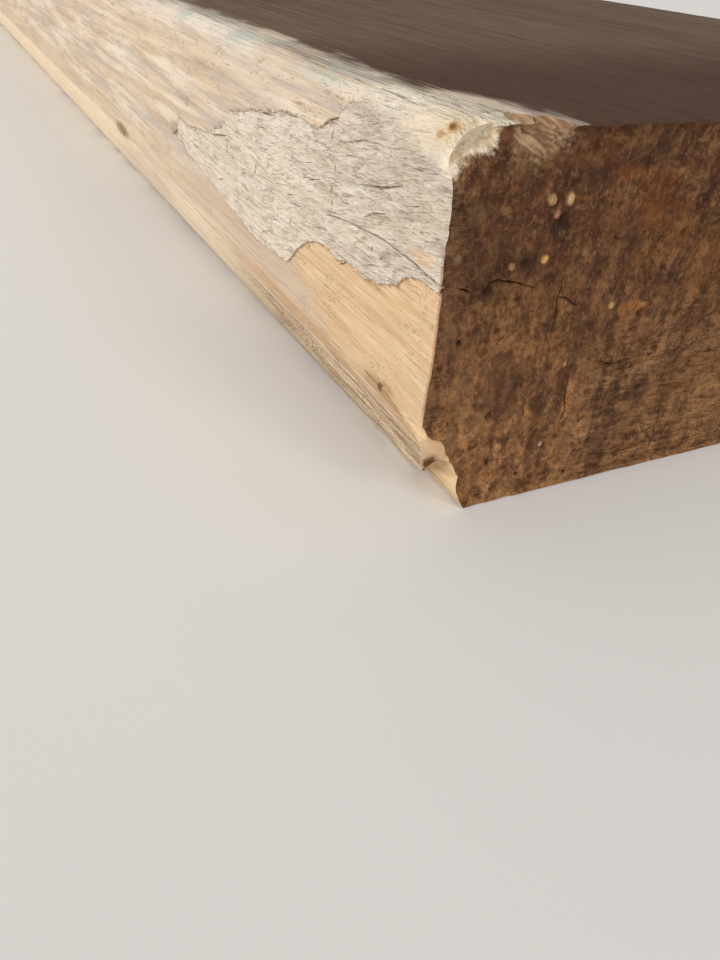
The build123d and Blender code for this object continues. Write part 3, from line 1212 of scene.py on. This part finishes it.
class WoodGroups:
    """The effects that the three wood materials share."""

    def __init__(self):
        self.place = board_place_group()
        self.fibres = fibres_group()
        self.dashes = dashes_group()
        self.wavy_lines = wavy_lines_group()
        self.blotches = blotches_group()
        self.rings = rings_group()
        self.stain = stain_group()


class Wood(Nodes):
    """One rough, barely shining wood material, with its board coordinates and the shared effects."""

    def __init__(self, name, groups, colours):
        self.material = bpy.data.materials.new(name)
        self.material.use_nodes = True
        super().__init__(self.material.node_tree)
        self.groups = groups
        self.colours = colours
        self.place = self.group(groups.place)
        self.across, self.along, self.up = self.parts(self.place)

    def effect(self, tree, place, **values):
        return self.group(tree, place=self.place if place is None else place, **values)

    def fibres(self, width, length, detail, place=None):
        return self.effect(self.groups.fibres, place, width=width, length=length, detail=detail)

    def dashes(self, width, length, amount, place=None):
        return self.effect(self.groups.dashes, place, width=width, length=length, amount=amount)

    def wavy_lines(self, width, length, amount, place=None):
        return self.effect(self.groups.wavy_lines, place, width=width, length=length, amount=amount)

    def blotches(self, size, stretch, offset, place=None):
        return self.effect(self.groups.blotches, place, size=size, stretch=stretch, offset=offset)

    def stain(self, centre, reach, ragged):
        return self.effect(self.groups.stain, None, centre=centre, reach=reach, ragged=ragged)

    def end_stain(self, centre, reach, ragged):
        """Stain on a sawn end, with its centre and its reach as (across, up)."""
        return self.stain((centre[0], 0.0, centre[1]), (reach[0], 9.0, reach[1]), ragged)

    def finish(self, tone, roughness, *relief):
        """Feeds the surface its colour, roughness and relief, which is millimetres as (value, weight)."""
        surface = self.tree.nodes["Principled BSDF"]
        surface.inputs["Specular IOR Level"].default_value = 0.25
        self.feed(surface.inputs["Base Color"], tone)
        self.feed(surface.inputs["Roughness"], roughness)
        height = 0.0
        for value, weight in relief:
            height = self.math("MULTIPLY_ADD", value, weight, height)
        bump = self.add("ShaderNodeBump")
        bump.inputs["Strength"].default_value = 1.0
        bump.inputs["Distance"].default_value = MM
        self.feed(bump.inputs["Height"], height)
        self.feed(surface.inputs["Normal"], bump.outputs["Normal"])
        return self.material


# Spots of the long faces: centre, reach, raggedness, strength and tone
ROUND_SPOTS = [
    ((1.0, 4.0, 36.6), (6.0, 8.0, 2.7), 0.9, 0.7, (240, 221, 192)),
    ((1.0, 2.6, 36.8), (4.0, 2.6, 1.5), 0.7, 0.55, (226, 196, 146)),
    ((0.8, 3.9, 36.35), (2.4, 0.8, 0.4), 0.6, 0.65, (194, 142, 78)),
    ((1.5, 3.3, 37.2), (1.1, 0.95, 0.9), 0.5, 0.6, (212, 162, 92)),
    ((1.5, 3.3, 37.2), (0.62, 0.6, 0.62), 0.4, 0.95, (138, 86, 42)),
    ((0.0, 3.3, 26.5), (3.0, 2.8, 0.8), 0.8, 0.5, (230, 188, 136)),
    ((0.0, 7.6, 11.5), (3.0, 2.4, 0.9), 0.8, 0.5, (150, 112, 74)),
    ((0.0, 125.5, 11.9), (3.0, 7.5, 1.6), 0.8, 0.7, (138, 106, 76)),
    ((0.0, 96.0, 20.0), (3.0, 12.0, 1.0), 0.9, 0.4, (170, 150, 128)),
    ((0.0, 84.0, 20.4), (3.0, 4.5, 1.3), 0.9, 0.5, (150, 132, 108)),
]


class LongGrain(Wood):
    """Weathered long faces: grey flaked skin over fresh wood, the wane and the wide faces, brown with stain
    and painted shade.
    """

    def __init__(self, groups, colours):
        super().__init__("weathered_long_grain", groups, colours)
        lean = self.times(self.math("MINIMUM", self.along, 42.0), 0.2)
        self.leaning = self.vector("ADD", self.place, self.join(0.0, 0.0, lean))
        self.late_wood = self.group(groups.rings, place=self.place)
        self.fine = self.fibres(0.15, 5.0, 3.0)
        self.broad = self.fibres(0.7, 26.0, 2.0)
        self.threads = self.fibres(0.3, 16.0, 1.0)
        self.thin_streaks = self.fibres(0.9, 22.0, 2.0)
        self.long_streaks = self.fibres(2.4, 34.0, 3.0)
        self.striations = self.fibres(0.34, 9.0, 3.0)
        self.combing = self.fibres(0.3, 11.0, 2.0)
        self.ripples = self.fibres(0.75, 3.0, 3.0, self.leaning)
        self.skin_fine = self.fibres(0.2, 2.0, 3.0, self.leaning)
        rising = self.join(0.0, 0.0, self.times(self.along, -0.045))
        self.waves = self.fibres(0.75, 11.0, 2.5, self.vector("ADD", self.place, rising))
        self.pores = self.dashes(0.15, 1.5, 0.5)
        self.patches = self.blotches(4.5, 2.4, 3.0)
        self.peach_patches = self.blotches(7.0, 3.0, 21.0)
        self.wide_patches = self.blotches(20.0, 6.0, 11.0)
        self.lilac = self.blotches(3.4, 1.8, 41.0, self.leaning)
        busy = self.math("MULTIPLY_ADD", self.stain((2.5, 3.0, 36.8), (6.0, 9.0, 4.5), 0.6), -0.85, 1.0)
        self.skin_lines = self.times(self.wavy_lines(0.7, 5.6, 0.35, self.leaning), busy)
        self.skin_specks = self.times(self.dashes(0.22, 0.7, 0.4, self.leaning), busy)
        self.combed = self.span(self.along, 2.0, 16.0, 0.45, 1.0)
        self.wane_mark = self.mark("wane")
        self.on_wane = self.span(self.wane_mark, -0.5, 0.7)

        border_noise = self.noise(self.place, (1.9, 1.5, 1.9), 3.0, 0.65)
        border_fibres = self.noise(self.place, (3.6, 0.4, 3.6), 2.0, 0.6)
        edge = self.wander(self.mark("skin"), border_noise, 0.6)
        edge = self.wander(edge, border_fibres, 0.9)
        self.on_skin = self.span(edge, -0.06, 0.06)
        broken = self.times(self.span(border_noise, 0.42, 0.56), self.span(self.up, 24.0, 27.0, 0.55, 1.0))
        # Dirt and painted shade along the foot of the skin's lifted edge.
        self.dirt_and_shade_under_edge = self.times(self.span(edge, -0.4, -0.03), self.span(edge, 0.04, 0.0), broken)

    def skin(self):
        """Grey skin: scale-like ripples with painted highlight and shade, combed fibres, dirt in its pores
        and dark lines that are partly painted shade under the flake edges.
        """
        nearness = self.span(self.along, 24.0, 66.0, 1.0, 0.45)
        combing_share = self.span(self.along, 6.0, 20.0, 0.3, 1.0)
        olive = self.blotches(2.6, 2.0, 57.0, self.leaning)
        return self.paint(
            self.blend(self.span(self.patches, 0.1, 0.9), self.colours.skin, self.colours.skin_light),
            (self.peach_patches, 0.4, (226, 204, 178)),
            (self.lilac, 0.45, (190, 179, 172)),
            (self.along, 14.0, 34.0, 0.85, (243, 228, 210)),
            (self.up, 31.0, 24.0, 0.45, (236, 219, 198)),
            # Painted highlight on the ripples' crests and painted shade in their troughs, following the bump.
            (self.span(self.ripples, 0.52, 0.95, 0.0, 0.42), nearness, (240, 230, 214)),
            (self.span(self.ripples, 0.48, 0.08, 0.0, 0.36), nearness, (166, 147, 133)),
            (self.span(self.combing, 0.4, 0.06, 0.0, 0.3), combing_share, (164, 143, 125)),
            (self.span(self.combing, 0.62, 0.95, 0.0, 0.4), combing_share, (243, 233, 216)),
            # Painted shade and highlight on the fine ripples, following the bump.
            (self.skin_fine, 0.42, 0.05, 0.3, (158, 139, 121)),
            (self.skin_fine, 0.6, 0.95, 0.35, (238, 229, 212)),
            (olive, 0.22, (196, 182, 146)),
            # The wavy lines are darkened partly as painted shade under the flake edges.
            (self.skin_lines, 0.3, self.colours.skin_dark),
            (self.skin_specks, 0.3, self.colours.skin_dark),
        )

    def fresh(self):
        """Clean wood by the near end, where the skin has flaked off."""
        paler_low = self.times(self.span(self.up, 20.0, 11.0), self.span(self.along, 30.0, 6.0))
        light = self.colours.fresh_light
        return self.paint(
            self.blend(self.span(self.fine, 0.5, 0.95, 0.0, 0.7), self.colours.fresh, light),
            (self.waves, 0.46, 0.05, 0.6, (196, 156, 112)),
            (self.waves, 0.56, 0.95, 0.55, (240, 214, 174)),
            (self.span(self.threads, 0.42, 0.05, 0.0, 0.5), self.combed, (190, 149, 105)),
            (self.span(self.threads, 0.62, 0.95, 0.0, 0.5), self.combed, light),
            (self.lilac, 0.34, (226, 178, 136)),
            (self.peach_patches, 0.3, (208, 180, 148)),
            (self.pores, 0.34, (150, 116, 84)),
            (self.skin_specks, 0.3, (170, 134, 98)),
            (paler_low, 0.6, (214, 185, 149)),
        )

    def bare(self):
        """Smooth weathered wood along the rest of the left face."""
        low_band = self.times(self.span(self.up, 18.5, 13.0), self.span(self.along, 44.0, 70.0))
        grey_low = self.times(self.span(self.up, 20.5, 17.0), self.span(self.along, 84.0, 50.0))
        return self.paint(
            self.blend(self.span(self.broad, 0.2, 0.9), self.colours.bare, (214, 194, 173)),
            (self.wide_patches, 0.6, (206, 193, 179)),
            (self.peach_patches, 0.55, (233, 206, 175)),
            (self.long_streaks, 0.48, 0.08, 0.75, (192, 178, 166)),
            (self.long_streaks, 0.56, 0.92, 0.6, (238, 227, 208)),
            (self.thin_streaks, 0.4, 0.05, 0.5, (190, 164, 136)),
            (self.late_wood, 0.22, (202, 170, 136)),
            (self.dashes(0.4, 8.0, 0.5), 0.4, (140, 118, 96)),
            (self.pores, 0.34, self.colours.skin_dark),
            (low_band, 0.5, (208, 182, 152)),
            (grey_low, 0.75, (201, 177, 153)),
        )

    def wane(self):
        """Striated wane, which turns smoother and paler away from the near end, with painted shade along its
        lower edge.
        """
        striated = self.span(self.along, 12.0, 32.0, 1.0, 0.4)
        near_wane = self.paint(
            self.blend(self.span(self.broad, 0.2, 0.85), self.colours.wane, (190, 163, 134)),
            (self.span(self.striations, 0.52, 0.9, 0.0, 0.85), striated, (240, 220, 188)),
            (self.span(self.striations, 0.46, 0.1, 0.0, 0.85), striated, (138, 108, 79)),
            (self.dashes(0.2, 1.0, 0.85), self.span(self.wane_mark, 1.6, 4.0), (128, 98, 72)),
            (self.span(self.wane_mark, 3.6, 1.6), 0.55, (208, 172, 132)),
        )
        far_wane = self.paint(
            self.blend(self.wide_patches, (238, 216, 188), (222, 203, 180)),
            (self.thin_streaks, 0.45, 0.1, 0.4, (202, 178, 151)),
            (self.along, 100.0, 170.0, 0.7, (250, 226, 192)),
        )
        # Painted shade along the wane's lower edge, where the board meets what it lies on.
        low_edge_shade = self.times(self.span(self.wane_mark, 7.0, 11.0), self.span(self.along, 16.0, 34.0))
        low_edge_shade = self.times(low_edge_shade, self.span(self.along, 150.0, 90.0))
        wane = self.blend(self.span(self.along, 36.0, 70.0), near_wane, far_wane)
        return self.paint(wane, (low_edge_shade, 0.5, (168, 146, 121)))

    def uncovered(self):
        """Wood of the left face and the wane, without the skin."""
        zone = self.math("MULTIPLY_ADD", self.up, -1.84, self.along)
        zone = self.wander(zone, self.patches, 5.0)
        zone = self.wander(zone, self.threads, 3.0)
        zone = self.times(self.span(zone, -2.0, 5.0, 1.0, 0.0), self.span(self.up, 29.0, 25.0))
        return self.blend(self.on_wane, self.blend(zone, self.bare(), self.fresh()), self.wane())

    def stained_and_shaded(self):
        """Brown wood of the wide faces: stain, darkened further with painted shade, most of all by the near
        end.
        """
        return self.paint(
            self.blend(self.span(self.broad, 0.1, 0.9), self.colours.stained_and_shaded, (84, 61, 45)),
            (self.late_wood, 0.45, (74, 52, 37)),
            (self.thin_streaks, 0.55, 0.95, 0.45, (136, 108, 82)),
            (self.wide_patches, 0.45, (120, 98, 78)),
            (self.pores, 0.5, (60, 45, 35)),
            # Painted shade: the wide faces darken towards the near end.
            (self.along, 60.0, 20.0, 0.8, (70, 40, 20)),
        )

    def edged(self, wood):
        """Adds the upper left edge's pale streaks, partly bleached wood and partly painted highlight, its
        green algae, and its dark streaks, partly painted shade.
        """
        on_arris = self.times(self.span(self.up, 35.2, 37.4), self.span(self.across, 7.0, 3.0))
        # Pale streaks: partly bleached wood, partly painted highlight on the rounded edge.
        whitened = self.times(on_arris, self.span(self.long_streaks, 0.25, 0.7, 0.25, 0.7))
        # Painted highlight on the rounded edge by the near end, over bleached wood.
        cream = self.times(on_arris, self.span(self.along, 24.0, 16.0, 0.0, 0.8))
        streaky = self.math("MULTIPLY_ADD", self.threads, 0.8, self.patches)
        algae = self.times(on_arris, self.span(self.along, 16.0, 30.0), self.span(self.along, 120.0, 60.0))
        algae = self.times(algae, self.span(streaky, 0.65, 1.35))
        # Dark streaks, partly painted shade where the top face begins.
        dark_streaks = self.times(self.span(self.up, 37.0, 37.9), self.span(self.threads, 0.46, 0.12))
        dark_streaks = self.times(dark_streaks, self.span(self.across, 9.0, 5.0))
        return self.paint(
            wood,
            (whitened, self.span(self.along, 30.0, 70.0), (234, 224, 208)),
            (cream, self.span(self.along, 4.0, 9.0, 0.2, 1.0), (245, 232, 210)),
            (algae, 0.6, self.colours.green),
            (dark_streaks, 0.8, (78, 76, 68)),
        )

    def make(self):
        wood = self.blend(self.on_skin, self.uncovered(), self.skin())
        # Dirt and painted shade under the skin's edge.
        wood = self.paint(wood, (self.dirt_and_shade_under_edge, 0.8, (128, 103, 80)))
        from_edge = self.wander(self.across, self.patches, 2.2)
        from_edge = self.wander(from_edge, self.threads, 1.6)
        from_edge = self.math("ADD", from_edge, self.span(self.along, 17.0, 10.0, 0.0, -5.0))
        wood = self.edged(self.blend(self.span(from_edge, 4.4, 8.0), wood, self.stained_and_shaded()))
        for centre, reach, raggedness, amount, tone in ROUND_SPOTS:
            wood = self.paint(wood, (self.stain(centre, reach, raggedness), amount, tone))
        red_edge = self.times(self.span(self.along, 0.5, 0.2), self.span(self.up, 11.0, 13.5))
        red_edge = self.times(red_edge, self.span(self.up, 29.5, 26.0))
        wood = self.paint(
            wood,
            # Pale worn wood, brightened past its tone with painted light where it lies in shade.
            (self.mark("torn"), 0.95, (252, 236, 210)),
            (red_edge, 0.6, (158, 98, 68)),
            (self.mark("seep"), 0.6, (176, 139, 98)),
            # Painted shade in the cracks and the insect hole.
            (self.span(self.mark("check"), 0.05, 0.8), 0.75, (94, 75, 58)),
        )
        off_skin = self.math("SUBTRACT", 1.0, self.on_skin)
        return self.finish(
            wood,
            self.span(self.fine, 0.0, 1.0, 0.92, 0.72),
            (self.fine, 0.03),
            (self.broad, 0.05),
            (self.times(self.threads, self.combed), 0.07),
            (self.times(self.waves, off_skin), 0.09),
            (self.times(self.striations, self.on_wane), 0.12),
            (self.times(self.pores, off_skin), -0.06),
            (self.times(self.skin_lines, self.on_skin), -0.06),
            (self.times(self.skin_specks, self.on_skin), -0.05),
            (self.times(self.ripples, self.on_skin), 0.18),
            (self.times(self.combing, self.on_skin), 0.05),
            (self.times(self.skin_fine, self.on_skin), 0.07),
            (self.patches, 0.05),
            (self.on_skin, 0.04),
        )


# Tints of the near end: centre and reach as (across, up), strength, and tone, or nothing for rust
END_TINTS = [
    ((23.0, 31.0), (3.2, 4.0), 0.5, None),
    ((27.0, 28.0), (3.0, 3.6), 0.35, (160, 104, 52)),
    ((14.5, 35.6), (4.6, 2.2), 0.4, (132, 82, 48)),
    ((18.8, 33.4), (2.4, 1.0), 0.45, None),
    ((16.6, 29.8), (2.6, 1.6), 0.35, (140, 88, 54)),
    ((23.4, 20.4), (2.4, 0.9), 0.65, (178, 108, 50)),
    ((22.6, 25.6), (2.2, 2.2), 0.35, (142, 98, 50)),
    ((32.0, 24.5), (3.0, 3.4), 0.45, (160, 106, 54)),
    ((12.4, 29.8), (2.3, 1.5), 0.75, (64, 38, 28)),
    ((15.0, 33.2), (2.6, 1.6), 0.6, (70, 42, 32)),
    ((22.4, 35.6), (1.8, 2.2), 0.55, (74, 50, 40)),
    ((9.2, 26.2), (2.0, 1.3), 0.7, (64, 38, 28)),
    ((5.4, 23.7), (1.1, 1.4), 0.7, (58, 38, 30)),
    ((20.6, 27.8), (1.4, 2.6), 0.4, (78, 46, 36)),
    ((4.0, 28.0), (3.4, 5.0), 0.4, (84, 52, 40)),
    ((9.4, 13.2), (3.6, 4.4), 0.45, (92, 60, 46)),
    ((27.6, 10.4), (2.2, 1.6), 0.7, (74, 46, 38)),
    ((35.6, 12.8), (5.0, 3.2), 0.35, (104, 70, 48)),
    ((7.0, 34.4), (2.6, 1.0), 0.5, (146, 112, 78)),
    ((3.2, 30.8), (1.8, 1.2), 0.4, (140, 104, 74)),
    ((1.0, 20.0), (3.0, 12.0), 0.3, (170, 122, 86)),
    ((39.0, 9.0), (12.0, 9.0), 0.3, (196, 142, 88)),
]


class EndGrain(Wood):
    """Sawn ends: dark, granular, streaked along the saw's sweep and tinted with rust, with painted shade and
    highlight on their relief.
    """

    def __init__(self, groups, colours):
        super().__init__("sawn_end_grain", groups, colours)
        from_centre = self.math("SUBTRACT", self.across, SAW_CENTRE[0])
        over_centre = self.math("SUBTRACT", self.up, SAW_CENTRE[1])
        reach = self.vector("LENGTH", self.join(from_centre, 0.0, over_centre))
        turn = self.times(self.math("ARCTAN2", over_centre, from_centre), 20.0)
        swept = self.join(reach, self.along, turn)
        self.streaks = self.noise(swept, (2.2, 0.4, 0.5), 4.0, 0.62)
        self.grains = self.cells(swept, (3.2, 1.0, 2.0))
        self.granules = self.noise(self.place, (2.0, 1.0, 1.8), 4.0, 0.7)
        self.lumps = self.noise(self.place, (0.72, 0.5, 0.6), 3.0, 0.6)
        self.bands = self.noise(self.place, (0.44, 0.2, 0.045), 3.0, 0.55)
        self.specks = self.noise(self.place, (4.6, 1.0, 4.2), 1.5, 0.7)
        self.ridges = self.noise(self.place, (0.26, 1.0, 2.0), 3.0, 0.65)
        self.mottle = self.noise(self.place, (0.46, 0.3, 0.38), 2.5, 0.55)
        self.crumbly = self.cells(self.place, (1.3, 0.6, 1.1))
        self.ridged = self.times(self.span(self.across, 16.0, 25.0), self.span(self.up, 21.0, 13.0))

    def sawn(self):
        """Mottled, banded and granular wood of both ends, with painted shade and highlight on its lumps,
        ridges and granules.
        """
        lower = self.wander(self.up, self.blotches(13.0, 1.0, 9.0), 9.0)
        banded = self.span(self.up, 33.0, 14.0, 0.35, 1.0)
        dark, light = self.colours.end_dark, self.colours.end_light
        return self.paint(
            self.blend(self.span(lower, 27.0, 4.0), self.colours.end_mid, (218, 155, 99)),
            (self.up, 20.0, 34.0, 0.55, (90, 51, 30)),
            (self.mottle, 0.49, 0.36, 0.6, (76, 43, 27)),
            (self.mottle, 0.52, 0.64, 0.5, (182, 128, 80)),
            # Painted shade in the lumps' hollows and painted highlight on their tops, following the bump.
            (self.lumps, 0.5, 0.34, 0.65, (70, 39, 25)),
            (self.lumps, 0.53, 0.66, 0.6, (182, 130, 82)),
            (self.crumbly, 0.5, 0.9, 0.45, (62, 36, 24)),
            # Painted highlight and shade on the ridges, following the bump.
            (self.span(self.ridges, 0.5, 0.62, 0.0, 0.75), self.ridged, (206, 158, 112)),
            (self.span(self.ridges, 0.48, 0.37, 0.0, 0.75), self.ridged, (86, 56, 37)),
            (self.span(self.bands, 0.5, 0.36, 0.0, 0.65), banded, (84, 52, 36)),
            (self.span(self.bands, 0.53, 0.66, 0.0, 0.55), banded, (172, 128, 86)),
            # Painted shade between granules and painted highlight on their tops, following the bump.
            (self.granules, 0.5, 0.34, 0.55, dark),
            (self.granules, 0.53, 0.66, 0.55, light),
            (self.streaks, 0.54, 0.7, 0.3, light),
            (self.streaks, 0.45, 0.3, 0.3, dark),
            (self.grains, 0.45, 0.8, 0.25, dark),
            (self.blotches(5.0, 1.0, 5.0), 0.3, (100, 57, 37)),
            (self.specks, 0.64, 0.76, 0.45, light),
            (self.specks, 0.38, 0.28, 0.3, (56, 33, 23)),
        )

    def tinted(self, wood):
        """Adds the tints of the near end, broken up by its granules."""
        through = self.span(self.granules, 0.3, 0.6, 0.35, 1.0)
        for centre, reach, amount, tone in END_TINTS:
            mask = self.times(self.end_stain(centre, reach, 1.5), through)
            wood = self.paint(wood, (mask, amount, tone or self.colours.rust))
        return wood

    def rimmed(self, wood):
        """Adds pale fibres by the left rim, its red edge and a painted warm light along the lower edge."""
        pale_fibres = self.noise(self.place, (1.1, 1.0, 4.6), 3.0, 0.65)
        pale_fibres = self.times(self.span(pale_fibres, 0.5, 0.62), self.span(self.across, 4.2, 0.2))
        red_edge = self.wander(self.across, self.granules, -1.2)
        red_edge = self.span(red_edge, 0.5, 0.1, 0.0, 0.6)
        # Painted light: a warm glow along the lower edge, as if lit from below.
        lit_lower_edge = self.wander(self.up, self.granules, -3.6)
        return self.paint(
            wood,
            (pale_fibres, 0.55, (170, 134, 98)),
            (red_edge, self.span(self.up, 30.0, 26.0), (156, 92, 62)),
            (lit_lower_edge, 1.1, 0.0, 0.6, (172, 126, 80)),
        )

    def cornered(self, wood):
        """Adds the chipped patch, the painted shadow by the notch, and the worn patch, partly painted light,
        of the upper left corner.
        """
        slanting = self.times(self.math("MULTIPLY_ADD", self.across, 0.5, self.up), 2.6)
        slanting = self.join(self.times(self.across, 0.5), self.along, slanting)
        slanting = self.noise(slanting, (1.0, 1.0, 1.0), 2.0, 0.6)
        chip_tone = self.blend(self.span(slanting, 0.4, 0.62), (160, 122, 90), (224, 188, 148))
        worn = self.wander(self.mark("torn"), self.granules, 0.9)
        worn = self.math("SUBTRACT", worn, self.span(self.across, 4.3, 5.3, 0.0, 0.7))
        # Pale worn wood, partly painted light: brightened past its tone where it faces away from the lamps.
        worn_tone = self.blend(self.span(self.granules, 0.38, 0.6), (240, 210, 172), (255, 242, 216))
        wood = self.paint(
            wood,
            (self.end_stain((8.2, 37.0), (4.4, 2.6), 1.1), 0.85, chip_tone),
            # Painted shadow of the notch's wall.
            (self.end_stain((4.8, 36.8), (0.9, 1.7), 0.8), 0.85, (106, 62, 42)),
        )
        return self.blend(self.span(worn, 0.16, 0.66), wood, worn_tone)

    def make(self):
        wood = self.cornered(self.rimmed(self.tinted(self.sawn())))
        # Painted shade in the cracks and pits.
        wood = self.paint(wood, (self.mark("check"), 0.1, 0.9, 0.65, (60, 37, 26)))
        for across, up, width, tone in END_CRUMBS:
            crumb = self.end_stain((across, up), (1.25 * width, 1.25 * width), 0.35)
            wood = self.paint(wood, (crumb, 0.95, tone))
        return self.finish(
            wood,
            self.span(self.granules, 0.2, 0.8, 0.95, 0.78),
            (self.granules, 0.55),
            (self.grains, -0.1),
            (self.specks, 0.06),
            (self.streaks, 0.2),
            (self.mottle, 1.3),
            (self.lumps, 1.1),
            (self.crumbly, -0.3),
            (self.times(self.ridges, self.ridged), 1.5),
        )


class SplitWood(Wood):
    """Torn faces where wood has broken away: pale and fibrous, with painted shade and dirt in the gap behind
    the splinter.
    """

    def __init__(self, groups, colours):
        super().__init__("split_wood", groups, colours)
        self.fine = self.fibres(0.22, 3.0, 3.0)
        self.broad = self.fibres(0.9, 7.0, 2.0)
        self.patches = self.blotches(2.2, 1.6, 1.0)
        self.fibrous = self.span(self.along, 0.5, 3.0, 0.3, 1.0)
        down_right = self.math("MULTIPLY_ADD", self.along, -0.3, self.up)
        down_right = self.math("MULTIPLY_ADD", self.across, 0.4, down_right)
        slanted = self.join(self.times(self.across, 0.4), 0.0, self.times(down_right, 2.2))
        self.slanted = self.noise(slanted, (1.0, 1.0, 1.0), 2.0, 0.6)

    def facet(self):
        """Pale facet behind the splinter, with painted shade in the pocket under its end."""
        light_fibres = self.times(self.span(self.fine, 0.3, 0.9), self.fibrous)
        by_end = self.times(self.span(self.along, 0.42, 0.15), self.span(self.up, 4.5, 6.5))
        return self.paint(
            self.blend(self.math("MAXIMUM", light_fibres, 0.3), self.colours.split, (242, 220, 180)),
            (self.span(self.broad, 0.5, 0.1, 0.0, 0.5), self.fibrous, (196, 154, 108)),
            (self.patches, 0.3, (212, 172, 126)),
            (by_end, 0.6, (226, 166, 128)),
            # Painted shade in the pocket under the splinter's broken end.
            (self.stain((1.8, 0.8, 6.0), (1.5, 3.0, 2.1), 0.5), 0.95, (104, 60, 34)),
        )

    def chip(self):
        """Brown chip in the upper edge, with slanting fibres."""
        return self.paint(
            self.blend(self.span(self.slanted, 0.36, 0.64), (146, 110, 80), (212, 176, 138)),
            (self.across, 7.2, 5.8, 0.7, (116, 70, 48)),
            (self.patches, 0.4, (92, 64, 46)),
        )

    def make(self):
        on_chip = self.span(self.up, 30.0, 31.0)
        wood = self.paint(
            self.blend(on_chip, self.facet(), self.chip()),
            (self.mark("seep"), 0.4, (168, 130, 88)),
            # Painted shade and dirt in the gap under the splinter.
            (self.mark("gap_dirt_and_shade"), 0.1, 0.9, 1.0, (104, 62, 38)),
        )
        on_facet = self.math("SUBTRACT", 1.0, on_chip)
        combed = self.times(on_facet, self.fibrous)
        return self.finish(
            wood,
            self.span(self.fine, 0.0, 1.0, 0.9, 0.75),
            (self.times(self.fine, combed), 0.07),
            (self.times(self.broad, combed), 0.12),
            (self.times(self.slanted, on_chip), 0.4),
        )


class BOARD_OT_weathered_board(bpy.types.Operator):
    """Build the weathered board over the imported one"""

    bl_idname = "board.weathered_board"
    bl_label = "Weathered Board"

    def execute(self, context):
        mesh = board_mesh(context.scene.board_shape)
        groups = WoodGroups()
        for wood in (LongGrain, EndGrain, SplitWood):
            mesh.materials.append(wood(groups, context.scene.board_colours).make())
        piece = bpy.data.objects.new("weathered_board", mesh)
        context.scene.collection.objects.link(piece)
        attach(piece, "root")
        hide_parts("board")
        print("triangles in the board:", len(mesh.polygons))
        return {"FINISHED"}


def add_floor(context, tone):
    """Wide plain floor under the board."""
    material = bpy.data.materials.new("floor")
    material.use_nodes = True
    surface = material.node_tree.nodes["Principled BSDF"]
    surface.inputs["Base Color"].default_value = (*tone, 1.0)
    surface.inputs["Roughness"].default_value = 0.9
    surface.inputs["Specular IOR Level"].default_value = 0.1
    reach = 12.0
    corners = [(-reach, -reach, 0.0), (reach, -reach, 0.0), (reach, reach, 0.0), (-reach, reach, 0.0)]
    mesh = bpy.data.meshes.new("floor")
    mesh.from_pydata(corners, [], [(0, 1, 2, 3)])
    mesh.materials.append(material)
    floor = bpy.data.objects.new("floor", mesh)
    context.scene.collection.objects.link(floor)


def add_sun(context, name, strength, toward, softness):
    """Soft lamp whose light comes from that direction."""
    light = bpy.data.lights.new(name, "SUN")
    light.energy = strength
    light.angle = radians(softness)
    lamp = bpy.data.objects.new(name, light)
    lamp.rotation_euler = Vector(toward).to_track_quat("Z", "Y").to_euler()
    context.scene.collection.objects.link(lamp)


def add_camera(context, lens):
    """Camera close to the near upper left corner, looking along the board and down."""
    data = bpy.data.cameras.new("camera")
    data.sensor_width = 36.0
    data.lens = lens
    data.clip_start = MM
    data.clip_end = 50.0
    camera = bpy.data.objects.new("camera", data)
    forward = Vector((0.39689, 0.72188, -0.5669)).normalized()
    right = Vector((0.89602, -0.43865, 0.06873)).normalized()
    turn = Matrix((right, right.cross(forward), -forward)).transposed()
    place = Vector(CAMERA_PLACE) * MM + board_low
    camera.matrix_world = Matrix.Translation(place) @ turn.to_4x4()
    context.scene.collection.objects.link(camera)
    context.scene.camera = camera


class BOARD_OT_stage(bpy.types.Operator):
    """Set up the floor, the light and the camera"""

    bl_idname = "board.stage"
    bl_label = "Stage"

    def execute(self, context):
        stage = context.scene.board_stage
        add_floor(context, stage.floor)
        world = bpy.data.worlds.new("studio")
        world.use_nodes = True
        background = world.node_tree.nodes["Background"]
        background.inputs["Color"].default_value = (1.0, 0.985, 0.96, 1.0)
        background.inputs["Strength"].default_value = stage.sky_strength
        context.scene.world = world
        add_sun(context, "key", stage.key_strength, (-0.9, -0.12, 0.42), 24.0)
        add_sun(context, "front", stage.front_strength, (0.25, -0.8, 0.55), 20.0)
        add_camera(context, stage.lens)
        context.scene.view_settings.view_transform = "Standard"
        return {"FINISHED"}


class BOARD_PT_panel(bpy.types.Panel):
    """Lists the steps that build the board"""

    bl_idname = "BOARD_PT_panel"
    bl_label = "Weathered Board"
    bl_space_type = "VIEW_3D"
    bl_region_type = "UI"
    bl_category = "Board"

    def draw(self, context):
        layout = self.layout
        for step in STEPS:
            layout.operator(step.bl_idname)


STEPS = (BOARD_OT_weathered_board, BOARD_OT_stage)
SETTINGS = (BoardShape, BoardColours, StageSettings)


def register():
    for kind in (*SETTINGS, *STEPS, BOARD_PT_panel):
        bpy.utils.register_class(kind)
    bpy.types.Scene.board_shape = PointerProperty(type=BoardShape)
    bpy.types.Scene.board_colours = PointerProperty(type=BoardColours)
    bpy.types.Scene.board_stage = PointerProperty(type=StageSettings)


def unregister():
    del bpy.types.Scene.board_stage
    del bpy.types.Scene.board_colours
    del bpy.types.Scene.board_shape
    for kind in reversed((*SETTINGS, *STEPS, BOARD_PT_panel)):
        bpy.utils.unregister_class(kind)


def main():
    register()
    bpy.ops.board.weathered_board()
    bpy.ops.board.stage()


if __name__ == "__main__":
    main()
